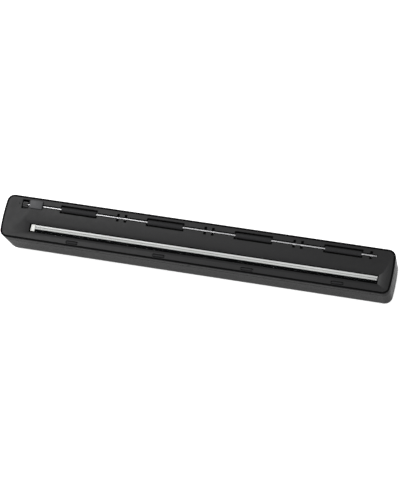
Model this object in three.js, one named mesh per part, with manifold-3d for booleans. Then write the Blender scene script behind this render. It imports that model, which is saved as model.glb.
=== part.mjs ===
// Handheld document scanner bar, lying on its back with its scan face up.
// Lengths are in millimetres. +X runs along the bar, +Y points to the drive rollers and +Z out of
// the scan face. The origin is under the middle of the bar, on the plane that its back rests on.

import * as THREE from 'three';
import { mergeVertices } from 'three/addons/utils/BufferGeometryUtils.js';
import Module from 'manifold-3d';

const wasm = await Module();
wasm.setup();

// ---------------------------------------------------------------- driving dimensions

// Whole body
const LENGTH = 256;
const WIDTH = 28.9;
const HEIGHT = 28;               // back face to scan plate
const CORNER_RADIUS = 4.4;
const END_BULGE = 0.8;           // how far each end bows out
const DRAFT_DEPTH = 22;           // nearly upright band of the side wall
const DRAFT_INSET = 0.56;
const BELLY_INSET = 1.5;         // how far the rounded back curves in
const CORNER_STEPS = 6;
const BELLY_STEPS = 9;

// Shells
const FRAME_DEPTH = 5.4;         // height of the side frame
const FRAME_WALL = 1.9;
const SHELL_WALL = 1.6;
const BACK_THICKNESS = 2.2;
const PARTING_GAP = 0.3;         // shadow gap between frame and back shell
const TONGUE_HEIGHT = 1.1;       // rib on the frame that locates the back shell
const TONGUE_WALL = 0.6;
const GAP = 0.3;                 // clearance between neighbouring solids
const FINE_GAP = 0.1;            // clearance between faces that seat on each other

// Scan plate
const LIP_WIDTH = 0.9;
const PLATE_GAP = 0.25;
const PLATE_THICKNESS = 1.6;
const WINDOW_LEFT_MARGIN = 19;
const WINDOW_RIGHT_MARGIN = 8.8;
const WINDOW_FRONT = -8.6;
const WINDOW_REAR = -2.75;
const BEVEL_DEPTH = 0.8;
const BEVEL_REAR = 2.2;
const BEVEL_FRONT = 1.5;
const BEVEL_LEFT = 4;
const BEVEL_RIGHT = 2.8;

// Drive rollers and shaft
const ROLLER_EDGE_OFFSET = 5.35;  // shaft line from the rear edge
const SHAFT_DROP = 1;          // shaft centre below the plate
const SHAFT_RADIUS = 0.65;
const RUNNING_GAP = 0.1;
const ROLLER_RADIUS = 1.65;
const ROLLER_LENGTH = 23.1;
const ROLLER_COUNT = 4;
const ROLLER_ROW_ENDS = 24.94;      // length left over at the two ends of the roller row
const ROLLER_PITCH = (LENGTH - ROLLER_ROW_ENDS) / ROLLER_COUNT;
const ROLLER_ROW_SHIFT = 7.91;
const ROLLER_SIDE_GAP = 1.05;
const ROLLER_END_GAP = 0.8;
const ROLLER_FLOOR_GAP = 0.65;
const WELL_WALL = 0.6;
const WELL_FLOOR = 1;
const SLOT_HALF_WIDTH = 1.05;
const SADDLE_HALF_WIDTH = 0.75;
const SHAFT_RIGHT_MARGIN = 12;
const NOTCH_WIDTH = 1.7;
const NOTCH_SPREAD = 2.5;        // snap notch from the middle of its bearing
const NOTCH_LENGTH = 5.2;
const NOTCH_DEPTH = 1.3;
const END_NOTCH_OFFSET = 3.8;    // last notch from the shaft's right end

// Gears, encoder and the cover over the shaft bush
const GEAR_MODULE = 0.35;
const SHAFT_GEAR_TEETH = 8;
const ENCODER_GEAR_TEETH = 16;
const GEAR_BACKLASH = 0.1;
const GEAR_WIDTH = 3.3;
const GEAR_MARGIN = 13.1;       // gear centre from the left end
const POCKET_LENGTH = 4.5;
const POCKET_HALF_WIDTH = 3;
const ENCODER_OFFSET_Y = -1.7;   // encoder axis from the shaft axis
const CENTRE_EXTRA = 0.12;
const AXLE_RADIUS = 0.5;
const HUB_RADIUS = 1.25;
const WHEEL_THICKNESS = 0.6;
const WHEEL_MARGIN = 8;          // wheel from the left end
const WHEEL_SLITS = 8;
const LUG_THICKNESS = 1.2;
const LUG_HALF_WIDTH = 1.5;
const LUG_OFFSET = 3.3;          // left lug from the slotted wheel
const GATE_HALF_WIDTH = 1.9;     // light gate of the encoder
const PIP_MARGIN = 9;            // moulded pip from the left end
const PIP_RADIUS = 0.5;
const PIP_RISE = 0.2;
const COVER_LENGTH = 8.6;
const COVER_WIDTH = 5.6;
const COVER_MARGIN = 20.5;       // cover centre from the left end
const COVER_SHIFT_Y = 0.45;
const COVER_HEIGHT = 0.7;
const COVER_TAB = 0.6;
const BUSH_RADIUS = 1.1;
const BUSH_LENGTH = 4.4;

// Small idler rollers along the front edge
const IDLER_EDGE_OFFSET = 2.6;
const IDLER_DROP = 0.7;
const IDLER_RADIUS = 0.8;
const IDLER_LENGTH = 6.6;
const IDLER_PIN_RADIUS = 0.35;
const IDLER_PIN_LENGTH = 8.9;
const IDLER_SLOT_LENGTH = 8.2;
const IDLER_SLOT_WIDTH = 2;
const IDLER_CUP_WALL = 0.4;

// Image sensor
const SENSOR_FRONT = -9.7;
const SENSOR_REAR = -1.3;
const SENSOR_HEIGHT = 15.6;
const SENSOR_OVERLAP = 1.6;      // housing past the window at each end
const SENSOR_BOARD_THICKNESS = 0.75;
const CHANNEL_FRONT = -5.95;
const CHANNEL_DEPTH = 5.6;
const SHELF_DEPTH = 1.1;         // dark shelf in front of the lens row
const LENS_WIDTH = 1.1;
const GUIDE_WIDTH = 1.3;
const GUIDE_HEIGHT = 3.5;
const LENS_HEIGHT = 4.9;
const STRIP_LEFT_GAP = 3.6;      // bright strip from the window's left edge
const STRIP_RIGHT_GAP = 0.8;
const LED_BLOCK_LENGTH = 2.6;
const LED_BLOCK_FRONT = -7.5;
const LEAF_THICKNESS = 0.25;
const LEAF_WIDTH = 4.6;
const LEAF_LENGTH = 12;
const RIBBON_WIDTH = 6;
const SPRING_SEAT_RADIUS = 2.5;  // post under the right-hand sensor spring

// Battery bay
const CELL_RADIUS = 5.25;
const CELL_LENGTH = 44.5;
const CELL_COUNT = 2;
const CELL_NUB_RADIUS = 1.9;
const CELL_NUB_LENGTH = 1;
const DOOR_THICKNESS = 1.5;
const CONTACT_THICKNESS = 0.5;
const CONTACT_SPRING = 3.6;
const BAY_WALL = 1;
const DOOR_MARGIN = 0.75;        // door opening past the cell on each side
const DOOR_GAP = 0.2;
const GRIP_MARGIN = 8;           // grip grooves from the bay's right end
const GRIP_PITCH = 1.6;
const GRIP_HALF_WIDTH = 4;

// Circuit board and what is on it
const BOARD_Z = 7.2;
const BOARD_THICKNESS = 1.2;
const SWITCH_SIZE = 4.5;
const SWITCH_HEIGHT = 2;
const SWITCH_PLUNGER = 0.5;
const USB_LENGTH = 9;
const USB_WIDTH = 7.7;
const USB_HEIGHT = 3.9;
const USB_Y = -2.2;
const USB_MARGIN = 2.6;
const USB_WALL = 0.35;
const CARD_LENGTH = 14;
const CARD_WIDTH = 13.6;
const CARD_HEIGHT = 1.8;
const CARD_SLOT_WIDTH = 11.6;
const CARD_SLOT_HEIGHT = 1.2;
const CARD_MARGIN = 5.4;

// Controls on the back
const BUTTON_RECESS = 0.3;
const BUTTON_TRAVEL = 0.5;
const BUTTON_GAP = 0.2;
const BUTTON_FLANGE = 0.7;
const FLANGE_THICKNESS = 0.7;
const SCAN_BUTTON_LENGTH = 16;
const SCAN_BUTTON_RADIUS = 4;
const SCAN_BUTTON_INSET = 15;    // from the board's right end
const ROUND_BUTTONS = [
  { name: 'power', margin: 50, radius: 3.4 },
  { name: 'format', margin: 38, radius: 2.6 },
  { name: 'colour', margin: 23.5, radius: 2.6 },
];
const CONTROL_Y = -1;
const DISPLAY_MARGIN = 84;
const DISPLAY_LENGTH = 28;
const DISPLAY_WIDTH = 12;
const DISPLAY_BORDER = 1.8;
const WINDOW_THICKNESS = 1;
const DISPLAY_HEIGHT = 2.4;
const LIGHT_MARGIN = 60;
const LIGHT_RADIUS = 1.1;

// Housing screws
const SCREW_RADIUS = 1;
const SCREW_HEAD_RADIUS = 1.9;
const SCREW_HEAD_HEIGHT = 1.4;
const SCREW_LENGTH = 9.5;
const SCREW_Y = 3;
const SCREW_RECESS = 2.2;
const BOSS_TOP = 7;
const BOSS_WALL = 0.7;
const POST_WALL = 1;
const LEFT_SCREW_MARGIN = 30;
const RIGHT_SCREW_MARGIN = 14.5;

// Snap latches along the front wall
const LATCH_POSITIONS = [-61.5, -1, 60.2];
const LATCH_LENGTH = 2.4;
const LATCH_TOP = 2.6;
const LATCH_HEIGHT = 0.8;
const LATCH_DEPTH = 1.2;         // how far a latch window goes into the wall
const MARK_MARGIN = 11.6;        // small notch in the front wall, from the right end
const MARK_LENGTH = 1.4;
const MARK_TOP = 4.1;
const MARK_HEIGHT = 0.8;

// ---------------------------------------------------------------- derived places

const LEFT_END = -LENGTH / 2;
const RIGHT_END = LENGTH / 2;
const CUT = 1;                                     // how far a cutter runs past its face
const PARTING_Z = HEIGHT - FRAME_DEPTH;
const SHELL_TOP = PARTING_Z - PARTING_GAP;
const SEAT_Z = HEIGHT - PLATE_THICKNESS - FINE_GAP;
const PLATE_BOTTOM = HEIGHT - PLATE_THICKNESS;
const ROLLER_Y = WIDTH / 2 - ROLLER_EDGE_OFFSET;
const SHAFT_Z = HEIGHT - SHAFT_DROP;
const SHAFT_RIGHT = RIGHT_END - SHAFT_RIGHT_MARGIN;
const GEAR_X = LEFT_END + GEAR_MARGIN;
const SHAFT_LEFT = GEAR_X - GEAR_WIDTH / 2 - GAP;
const BUSH_X = LEFT_END + COVER_MARGIN;
const WELL_HALF_WIDTH = ROLLER_RADIUS + ROLLER_SIDE_GAP;
const WELL_HALF_LENGTH = ROLLER_LENGTH / 2 + ROLLER_END_GAP;
const WELL_Z = SHAFT_Z - ROLLER_RADIUS - ROLLER_FLOOR_GAP;
const GEAR_CENTRES = GEAR_MODULE * (SHAFT_GEAR_TEETH + ENCODER_GEAR_TEETH) / 2 + CENTRE_EXTRA;
const ENCODER_Y = ROLLER_Y + ENCODER_OFFSET_Y;
const ENCODER_DROP = Math.sqrt(GEAR_CENTRES ** 2 - ENCODER_OFFSET_Y ** 2);
const ENCODER_Z = SHAFT_Z - ENCODER_DROP;
const WHEEL_RADIUS = PLATE_BOTTOM - GAP - ENCODER_Z; // fills the room under the plate
const WHEEL_X = LEFT_END + WHEEL_MARGIN;
const LEFT_LUG_X = WHEEL_X - LUG_OFFSET;
const RIGHT_LUG_X = GEAR_X + POCKET_LENGTH / 2 + GAP;
const IDLER_Y = -(WIDTH / 2 - IDLER_EDGE_OFFSET);
const IDLER_Z = HEIGHT - IDLER_DROP;
const WINDOW_LEFT = LEFT_END + WINDOW_LEFT_MARGIN;
const WINDOW_RIGHT = RIGHT_END - WINDOW_RIGHT_MARGIN;
const SENSOR_TOP = PLATE_BOTTOM - 2 * FINE_GAP;
const SENSOR_BOTTOM = SENSOR_TOP - SENSOR_HEIGHT;
const SENSOR_LEFT = WINDOW_LEFT - SENSOR_OVERLAP;
const SENSOR_RIGHT = WINDOW_RIGHT + SENSOR_OVERLAP;
const STRIP_LEFT = WINDOW_LEFT + STRIP_LEFT_GAP;
const STRIP_RIGHT = WINDOW_RIGHT - STRIP_RIGHT_GAP;
const STRIP_TOP = SENSOR_TOP - GAP;
const BOARD_TOP = BOARD_Z + BOARD_THICKNESS;
const SCREW_BOSS_RADIUS = SCREW_HEAD_RADIUS + GAP + BOSS_WALL;
const POST_RADIUS = SCREW_RADIUS + FINE_GAP + POST_WALL;
const RIGHT_SCREW_X = RIGHT_END - RIGHT_SCREW_MARGIN;
const BAY_RIGHT = RIGHT_SCREW_X - SCREW_BOSS_RADIUS - BAY_WALL - GAP;
const BAY_LENGTH = CELL_COUNT * (CELL_LENGTH + GAP) + 2 * CONTACT_THICKNESS + CONTACT_SPRING + 3 * GAP;
const BAY_LEFT = BAY_RIGHT - BAY_LENGTH;
const MIDDLE_SCREW_X = BAY_LEFT - BAY_WALL - GAP - SCREW_BOSS_RADIUS;
const LEFT_SCREW_X = LEFT_END + LEFT_SCREW_MARGIN;
const SCREW_PLACES = [LEFT_SCREW_X, MIDDLE_SCREW_X, RIGHT_SCREW_X];
const CELL_Y = SENSOR_REAR + CELL_RADIUS + GAP;
const CELL_Z = DOOR_THICKNESS + GAP + CELL_RADIUS;
const BOARD_RIGHT = MIDDLE_SCREW_X - SCREW_BOSS_RADIUS - GAP;
const SCAN_BUTTON_X = BOARD_RIGHT - SCAN_BUTTON_INSET;
const DISPLAY_X = LEFT_END + DISPLAY_MARGIN;
const LIGHT_X = LEFT_END + LIGHT_MARGIN;
const SWITCH_TOP = BOARD_Z - FINE_GAP;
const PLUNGER_Z = SWITCH_TOP - SWITCH_HEIGHT - SWITCH_PLUNGER;
const USB_LEFT = LEFT_END + USB_MARGIN;
const SPRING_PLACES = [SENSOR_LEFT + 26, RIGHT_SCREW_X - 2];
const SENSOR_Y = (SENSOR_FRONT + SENSOR_REAR) / 2;

// ---------------------------------------------------------------- solids and meshes

// A closed three.js geometry as a solid that can be cut and joined.
function toSolid(geometry) {
  const bare = geometry.clone();
  bare.deleteAttribute('normal');
  bare.deleteAttribute('uv');
  const merged = mergeVertices(bare, 1e-4);
  return new wasm.Manifold(new wasm.Mesh({
    numProp: 3,
    vertProperties: new Float32Array(merged.attributes.position.array),
    triVerts: new Uint32Array(merged.index.array),
  }));
}

function toGeometry(solid) {
  const mesh = solid.getMesh();
  const geometry = new THREE.BufferGeometry();
  geometry.setAttribute('position', new THREE.BufferAttribute(new Float32Array(mesh.vertProperties), 3));
  geometry.setIndex(new THREE.BufferAttribute(new Uint32Array(mesh.triVerts), 1));
  geometry.computeVertexNormals();
  return geometry;
}

function block([x0, x1], [y0, y1], [z0, z1]) {
  const geometry = new THREE.BoxGeometry(x1 - x0, y1 - y0, z1 - z0);
  geometry.translate((x0 + x1) / 2, (y0 + y1) / 2, (z0 + z1) / 2);
  return toSolid(geometry);
}

// An outline in the XY plane, raised from z0 to z1.
function raise(shape, [z0, z1], curveSegments = 8) {
  const options = { depth: z1 - z0, bevelEnabled: false, curveSegments };
  const geometry = new THREE.ExtrudeGeometry(shape, options);
  geometry.translate(0, 0, z0);
  return toSolid(geometry);
}

// An outline whose own x is down and whose own y is +Y, pushed along X from x0 to x1.
function push(shape, [x0, x1], y, z, curveSegments = 8) {
  const options = { depth: x1 - x0, bevelEnabled: false, curveSegments };
  const geometry = new THREE.ExtrudeGeometry(shape, options);
  geometry.rotateY(Math.PI / 2);
  geometry.translate(x0, y, z);
  return toSolid(geometry);
}

function circle(radius) {
  return new THREE.Shape().absarc(0, 0, radius, 0, 2 * Math.PI, false);
}

function ring(radius, boreRadius) {
  const shape = circle(radius);
  shape.holes.push(new THREE.Path().absarc(0, 0, boreRadius, 0, 2 * Math.PI, true));
  return shape;
}

// A rod along X. A whole circle gets two segments for each of its curveSegments.
function rod(radius, spanX, y, z, sides = 16) {
  return push(circle(radius), spanX, y, z, sides / 2);
}

// A pillar along Z.
function pillar(radius, x, y, spanZ, sides = 20) {
  return raise(circle(radius), spanZ, sides / 2).translate([x, y, 0]);
}

// A tube along X.
function tube(radius, boreRadius, spanX, y, z, sides) {
  return push(ring(radius, boreRadius), spanX, y, z, sides / 2);
}

// A capsule outline: a straight slot with round ends, along X.
function capsule(length, radius) {
  const half = length / 2 - radius;
  const shape = new THREE.Shape();
  shape.absarc(half, 0, radius, -Math.PI / 2, Math.PI / 2, false);
  shape.absarc(-half, 0, radius, Math.PI / 2, 3 * Math.PI / 2, false);
  return shape;
}

function addAll(first, ...others) {
  return others.reduce((sum, other) => sum.add(other), first);
}

function cutAll(first, ...others) {
  return others.reduce((rest, other) => rest.subtract(other), first);
}

// ---------------------------------------------------------------- hull surface

// One level outline of the bar: round corners, and ends that bow out a little.
function hullOutline(inset, wall) {
  const halfLength = LENGTH / 2 - inset - wall;
  const halfWidth = WIDTH / 2 - inset - wall;
  const radius = CORNER_RADIUS - wall;
  const points = [];
  const addPoint = (x, y) => points.push([x - Math.sign(x) * END_BULGE * (y / halfWidth) ** 2, y]);
  for (let corner = 0; corner < 4; corner += 1) {
    const signX = corner === 0 || corner === 3 ? 1 : -1;
    const signY = corner < 2 ? 1 : -1;
    for (let step = 0; step <= CORNER_STEPS; step += 1) {
      const angle = (corner + step / CORNER_STEPS) * Math.PI / 2;
      const x = signX * (halfLength - radius) + radius * Math.cos(angle);
      const y = signY * (halfWidth - radius) + radius * Math.sin(angle);
      addPoint(x, y);
    }
    if (corner % 2 === 1) {
      for (const share of [-0.5, 0, 0.5]) {
        addPoint(signX * halfLength, signX * share * (halfWidth - radius));
      }
    }
  }
  return points;
}

// How far the side wall has moved in at a depth below the scan face.
function hullInset(depth, floorDepth) {
  if (depth <= DRAFT_DEPTH) {
    return DRAFT_INSET * Math.max(depth, 0) / DRAFT_DEPTH;
  }
  const share = Math.min(1, (depth - DRAFT_DEPTH) / (floorDepth - DRAFT_DEPTH));
  return DRAFT_INSET + BELLY_INSET * (1 - Math.sqrt(1 - share * share));
}

// Stacked level outlines, closed at both ends.
function loft(levels) {
  const rings = levels.map(({ outline, z }) => outline.map(([x, y]) => [x, y, z]));
  const count = rings[0].length;
  const positions = [...rings.flat(2), 0, 0, levels[0].z, 0, 0, levels[levels.length - 1].z];
  const bottomCentre = rings.length * count;
  const topCentre = bottomCentre + 1;
  const topStart = (rings.length - 1) * count;
  const faces = [];
  for (let k = 0; k < count; k += 1) {
    const next = (k + 1) % count;
    faces.push(bottomCentre, next, k);
    faces.push(topCentre, topStart + k, topStart + next);
    for (let level = 0; level < rings.length - 1; level += 1) {
      const low = level * count;
      const high = low + count;
      faces.push(low + k, low + next, high + next);
      faces.push(low + k, high + next, high + k);
    }
  }
  const geometry = new THREE.BufferGeometry();
  geometry.setAttribute('position', new THREE.Float32BufferAttribute(positions, 3));
  geometry.setIndex(faces);
  return toSolid(geometry);
}

// The hull between two heights, moved in by a wall, with its floor at floorZ.
function hull([z0, z1], wall, floorZ) {
  const floorDepth = HEIGHT - floorZ;
  const heights = [z0];
  for (let step = BELLY_STEPS; step >= 0; step -= 1) {
    const angle = (step / BELLY_STEPS) * Math.PI / 2;
    const z = HEIGHT - DRAFT_DEPTH - (floorDepth - DRAFT_DEPTH) * Math.sin(angle);
    if (z > z0 + 0.01 && z < z1 - 0.01) {
      heights.push(z);
    }
  }
  heights.push(z1);
  return loft(heights.map((z) => ({ z, outline: hullOutline(hullInset(HEIGHT - z, floorDepth), wall) })));
}

// The hull's outline at the scan face, moved in by a wall, with upright sides.
function uprightHull([z0, z1], wall) {
  const outline = hullOutline(0, wall);
  return loft([{ z: z0, outline }, { z: z1, outline }]);
}

function outerHull(spanZ) {
  return hull(spanZ, 0, 0);
}

// ---------------------------------------------------------------- cutters that two pieces share

// Places of the drive rollers, and of the snap bearings between them.
const rollerPlaces = Array.from({ length: ROLLER_COUNT }, (_, k) => (
  ROLLER_ROW_SHIFT + (k - (ROLLER_COUNT - 1) / 2) * ROLLER_PITCH
));
const bearingPlaces = rollerPlaces.slice(1).map((x) => x - ROLLER_PITCH / 2);

// Trough under the plate that holds the shaft and the rollers.
function rollerTrough(clearance) {
  const halfWidth = WELL_HALF_WIDTH + WELL_WALL + clearance;
  return block(
    [RIGHT_LUG_X + LUG_THICKNESS / 2 - clearance, SHAFT_RIGHT + 2 + clearance],
    [ROLLER_Y - halfWidth, ROLLER_Y + halfWidth],
    [WELL_Z - WELL_FLOOR - clearance, PLATE_BOTTOM + FINE_GAP],
  );
}

// Cup under the plate that holds one idler roller.
function idlerCup(x, clearance) {
  const halfLength = IDLER_PIN_LENGTH / 2 + GAP + IDLER_CUP_WALL + clearance;
  const halfWidth = IDLER_SLOT_WIDTH / 2 + IDLER_CUP_WALL + clearance;
  return block(
    [x - halfLength, x + halfLength],
    [IDLER_Y - halfWidth, IDLER_Y + halfWidth - 2 * clearance],
    [IDLER_Z - IDLER_RADIUS - GAP - IDLER_CUP_WALL - clearance, PLATE_BOTTOM + FINE_GAP],
  );
}

// Openings in the left end for the USB plug and the memory card, with room for the card's socket.
function portCutter() {
  const usb = block(
    [LEFT_END - CUT, USB_LEFT + USB_LENGTH / 2],
    [USB_Y - USB_WIDTH / 2 - GAP, USB_Y + USB_WIDTH / 2 + GAP],
    [BOARD_TOP + FINE_GAP - GAP, BOARD_TOP + FINE_GAP + USB_HEIGHT + GAP],
  );
  const cardTop = BOARD_Z - FINE_GAP;
  const card = block(
    [LEFT_END - CUT, LEFT_END + CARD_MARGIN + GAP],
    [-CARD_SLOT_WIDTH / 2 - GAP, CARD_SLOT_WIDTH / 2 + GAP],
    [cardTop - CARD_HEIGHT + GAP, cardTop - CARD_HEIGHT + GAP + CARD_SLOT_HEIGHT],
  );
  const socket = block(
    [LEFT_END + CARD_MARGIN - GAP, LEFT_END + CARD_MARGIN + CARD_LENGTH],
    [-CARD_WIDTH / 2 - GAP, CARD_WIDTH / 2 + GAP],
    [cardTop - CARD_HEIGHT - GAP, cardTop],
  );
  return addAll(usb, card, socket);
}

// The battery door's outline through the back, moved out by a clearance.
function doorPrism(clearance) {
  const halfWidth = CELL_RADIUS + DOOR_MARGIN + clearance;
  return block(
    [BAY_LEFT + GAP - clearance, BAY_RIGHT - GAP + clearance],
    [CELL_Y - halfWidth, CELL_Y + halfWidth],
    [-CUT, CELL_Z],
  );
}

// ---------------------------------------------------------------- shells

function scanPlate() {
  const plate = addAll(
    uprightHull([PLATE_BOTTOM, HEIGHT], LIP_WIDTH + PLATE_GAP),
    rollerTrough(0),
    ...rollerPlaces.map((x) => idlerCup(x, 0)),
    ...SCREW_PLACES.map((x) => pillar(POST_RADIUS, x, SCREW_Y, [BOSS_TOP + GAP, PLATE_BOTTOM + FINE_GAP])),
    encoderLug(LEFT_LUG_X),
    encoderLug(RIGHT_LUG_X),
    pillar(PIP_RADIUS, LEFT_END + PIP_MARGIN, ROLLER_Y, [HEIGHT - FINE_GAP, HEIGHT + PIP_RISE], 10),
  );
  return cutAll(
    plate,
    windowCutter(),
    ...rollerPlaces.map(rollerWell),
    ...shaftSlots(),
    ...snapNotches(),
    gearPocket(),
    bushPocket(),
    ...coverTabs(FINE_GAP),
    ...rollerPlaces.flatMap(idlerCutters),
    ...SCREW_PLACES.map((x) => pillar(SCREW_RADIUS + FINE_GAP, x, SCREW_Y, [0, BOSS_TOP + SCREW_LENGTH], 12)),
    encoderAxleBore(),
  );
}

// Sensor window: upright through the plate, with a sloped border down to it.
function windowCutter() {
  const top = HEIGHT + FINE_GAP;
  const rise = (BEVEL_DEPTH + FINE_GAP) / BEVEL_DEPTH;
  const low = rectangle([WINDOW_LEFT, WINDOW_RIGHT], [WINDOW_FRONT, WINDOW_REAR]);
  const high = rectangle(
    [WINDOW_LEFT - BEVEL_LEFT * rise, WINDOW_RIGHT + BEVEL_RIGHT * rise],
    [WINDOW_FRONT - BEVEL_FRONT * rise, WINDOW_REAR + BEVEL_REAR * rise],
  );
  return loft([
    { z: PLATE_BOTTOM - CUT, outline: low },
    { z: HEIGHT - BEVEL_DEPTH, outline: low },
    { z: top, outline: high },
  ]);
}

function rectangle([x0, x1], [y0, y1]) {
  return [[x1, y1], [x0, y1], [x0, y0], [x1, y0]];
}

function rollerWell(x) {
  return block(
    [x - WELL_HALF_LENGTH, x + WELL_HALF_LENGTH],
    [ROLLER_Y - WELL_HALF_WIDTH, ROLLER_Y + WELL_HALF_WIDTH],
    [WELL_Z, HEIGHT + CUT],
  );
}

// A narrow slot that guides the shaft, opened wider everywhere but at the snap bearings.
function shaftSlots() {
  const slot = (x0, x1, halfWidth) => block(
    [x0, x1],
    [ROLLER_Y - halfWidth, ROLLER_Y + halfWidth],
    [SHAFT_Z - SHAFT_RADIUS - GAP, HEIGHT + CUT],
  );
  const saddleHalf = NOTCH_SPREAD - NOTCH_WIDTH / 2;
  const ends = bearingPlaces.flatMap((x) => [x - saddleHalf, x + saddleHalf]);
  const edges = [BUSH_X, ...ends, SHAFT_RIGHT - END_NOTCH_OFFSET];
  const slots = [slot(GEAR_X, SHAFT_RIGHT + GAP, SADDLE_HALF_WIDTH)];
  for (let k = 0; k < edges.length; k += 2) {
    slots.push(slot(edges[k], edges[k + 1], SLOT_HALF_WIDTH));
  }
  return slots;
}

// Narrow notches that let the snap bearings flex.
function snapNotches() {
  const pairs = bearingPlaces.flatMap((x) => [x - NOTCH_SPREAD, x + NOTCH_SPREAD]);
  return [...pairs, SHAFT_RIGHT - END_NOTCH_OFFSET].map((x) => block(
    [x - NOTCH_WIDTH / 2, x + NOTCH_WIDTH / 2],
    [ROLLER_Y - NOTCH_LENGTH / 2, ROLLER_Y + NOTCH_LENGTH / 2],
    [SHAFT_Z - SHAFT_RADIUS - NOTCH_DEPTH, HEIGHT + CUT],
  ));
}

function gearPocket() {
  return block(
    [GEAR_X - POCKET_LENGTH / 2, GEAR_X + POCKET_LENGTH / 2],
    [ROLLER_Y - POCKET_HALF_WIDTH, ROLLER_Y + POCKET_HALF_WIDTH],
    [PLATE_BOTTOM - CUT, HEIGHT + CUT],
  );
}

function bushPocket() {
  const halfWidth = BUSH_RADIUS + GAP;
  return block(
    [BUSH_X - BUSH_LENGTH / 2 - GAP, BUSH_X + BUSH_LENGTH / 2 + GAP],
    [ROLLER_Y - halfWidth, ROLLER_Y + halfWidth],
    [SHAFT_Z - BUSH_RADIUS - GAP, HEIGHT + CUT],
  );
}

// Legs of the cover, which drop into slots on both sides of the bush.
function coverTabs(clearance) {
  const reach = COVER_WIDTH / 2 - COVER_TAB / 2 - FINE_GAP;
  return [-1, 1].map((side) => {
    const y = ROLLER_Y + COVER_SHIFT_Y + side * reach;
    return block(
      [BUSH_X - 2 - clearance, BUSH_X + 2 + clearance],
      [y - COVER_TAB / 2 - clearance, y + COVER_TAB / 2 + clearance],
      [PLATE_BOTTOM - clearance, HEIGHT + FINE_GAP + clearance],
    );
  });
}

function idlerCutters(x) {
  const slot = raise(capsule(IDLER_SLOT_LENGTH, IDLER_SLOT_WIDTH / 2), [
    IDLER_Z - IDLER_RADIUS - GAP, HEIGHT + CUT,
  ], 6).translate([x, IDLER_Y, 0]);
  const pinHalf = IDLER_PIN_LENGTH / 2 + FINE_GAP;
  const pinSlot = block(
    [x - pinHalf, x + pinHalf],
    [IDLER_Y - IDLER_PIN_RADIUS - FINE_GAP, IDLER_Y + IDLER_PIN_RADIUS + FINE_GAP],
    [IDLER_Z - IDLER_RADIUS - GAP, IDLER_Z + IDLER_PIN_RADIUS + FINE_GAP],
  );
  return [slot, pinSlot];
}

function encoderLug(x) {
  const drop = AXLE_RADIUS + 0.9;
  return block(
    [x, x + LUG_THICKNESS],
    [ENCODER_Y - LUG_HALF_WIDTH, ENCODER_Y + LUG_HALF_WIDTH],
    [ENCODER_Z - drop, PLATE_BOTTOM + FINE_GAP],
  );
}

function encoderAxleBore() {
  const span = [LEFT_LUG_X - CUT, RIGHT_LUG_X + LUG_THICKNESS + CUT];
  return rod(AXLE_RADIUS + FINE_GAP, span, ENCODER_Y, ENCODER_Z, 12);
}

function sideFrame() {
  const shellFloor = BACK_THICKNESS;
  const band = outerHull([PARTING_Z, HEIGHT]);
  const tongue = hull([PARTING_Z - TONGUE_HEIGHT, PARTING_Z + FINE_GAP], SHELL_WALL - TONGUE_WALL, shellFloor);
  return cutAll(
    band.add(tongue),
    hull([PARTING_Z - TONGUE_HEIGHT - CUT, SEAT_Z], FRAME_WALL, shellFloor),
    uprightHull([SEAT_Z - FINE_GAP, HEIGHT + CUT], LIP_WIDTH),
    portCutter(),
    rollerTrough(GAP),
    ...rollerPlaces.map((x) => idlerCup(x, GAP)),
    ...LATCH_POSITIONS.map(latchHole),
    block(
      [RIGHT_END - MARK_MARGIN - MARK_LENGTH, RIGHT_END - MARK_MARGIN],
      [-WIDTH / 2 - CUT, -WIDTH / 2 + LATCH_DEPTH],
      [HEIGHT - MARK_TOP - MARK_HEIGHT, HEIGHT - MARK_TOP],
    ),
  );
}

function latchHole(x) {
  return block(
    [x - LATCH_LENGTH / 2, x + LATCH_LENGTH / 2],
    [-WIDTH / 2 - CUT, -WIDTH / 2 + LATCH_DEPTH],
    [HEIGHT - LATCH_TOP - LATCH_HEIGHT, HEIGHT - LATCH_TOP],
  );
}

function backShell() {
  const rebateWall = SHELL_WALL - TONGUE_WALL - GAP;
  const cup = cutAll(
    outerHull([0, SHELL_TOP]),
    hull([BACK_THICKNESS, SHELL_TOP + CUT], SHELL_WALL, BACK_THICKNESS),
    hull([PARTING_Z - TONGUE_HEIGHT - GAP, SHELL_TOP + CUT], rebateWall, BACK_THICKNESS),
  );
  const springX = SPRING_PLACES[1];
  const inside = addAll(
    pillar(SPRING_SEAT_RADIUS, springX, SENSOR_Y, [BACK_THICKNESS - 0.8, BOARD_TOP]),
    ...SCREW_PLACES.map((x) => pillar(SCREW_BOSS_RADIUS, x, SCREW_Y, [BACK_THICKNESS - 0.5, BOSS_TOP])),
    bayWall(BAY_LEFT - BAY_WALL),
    bayWall(BAY_RIGHT),
  );
  return cutAll(
    cup.add(inside),
    ...SCREW_PLACES.flatMap(screwCutters),
    portCutter(),
    doorPrism(DOOR_GAP),
    ...controlOpenings(),
  );
}

// End wall of the battery bay.
function bayWall(x) {
  return block(
    [x, x + BAY_WALL],
    [CELL_Y - CELL_RADIUS + 0.6, CELL_Y + CELL_RADIUS - 1],
    [BACK_THICKNESS - 0.5, CELL_Z + 3.5],
  );
}

function screwCutters(x) {
  const headSpan = [-CUT, SCREW_RECESS + SCREW_HEAD_HEIGHT + FINE_GAP];
  const head = pillar(SCREW_HEAD_RADIUS + FINE_GAP, x, SCREW_Y, headSpan);
  const shank = pillar(SCREW_RADIUS + FINE_GAP, x, SCREW_Y, [0, BOSS_TOP + CUT], 12);
  return [head, shank];
}

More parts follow.
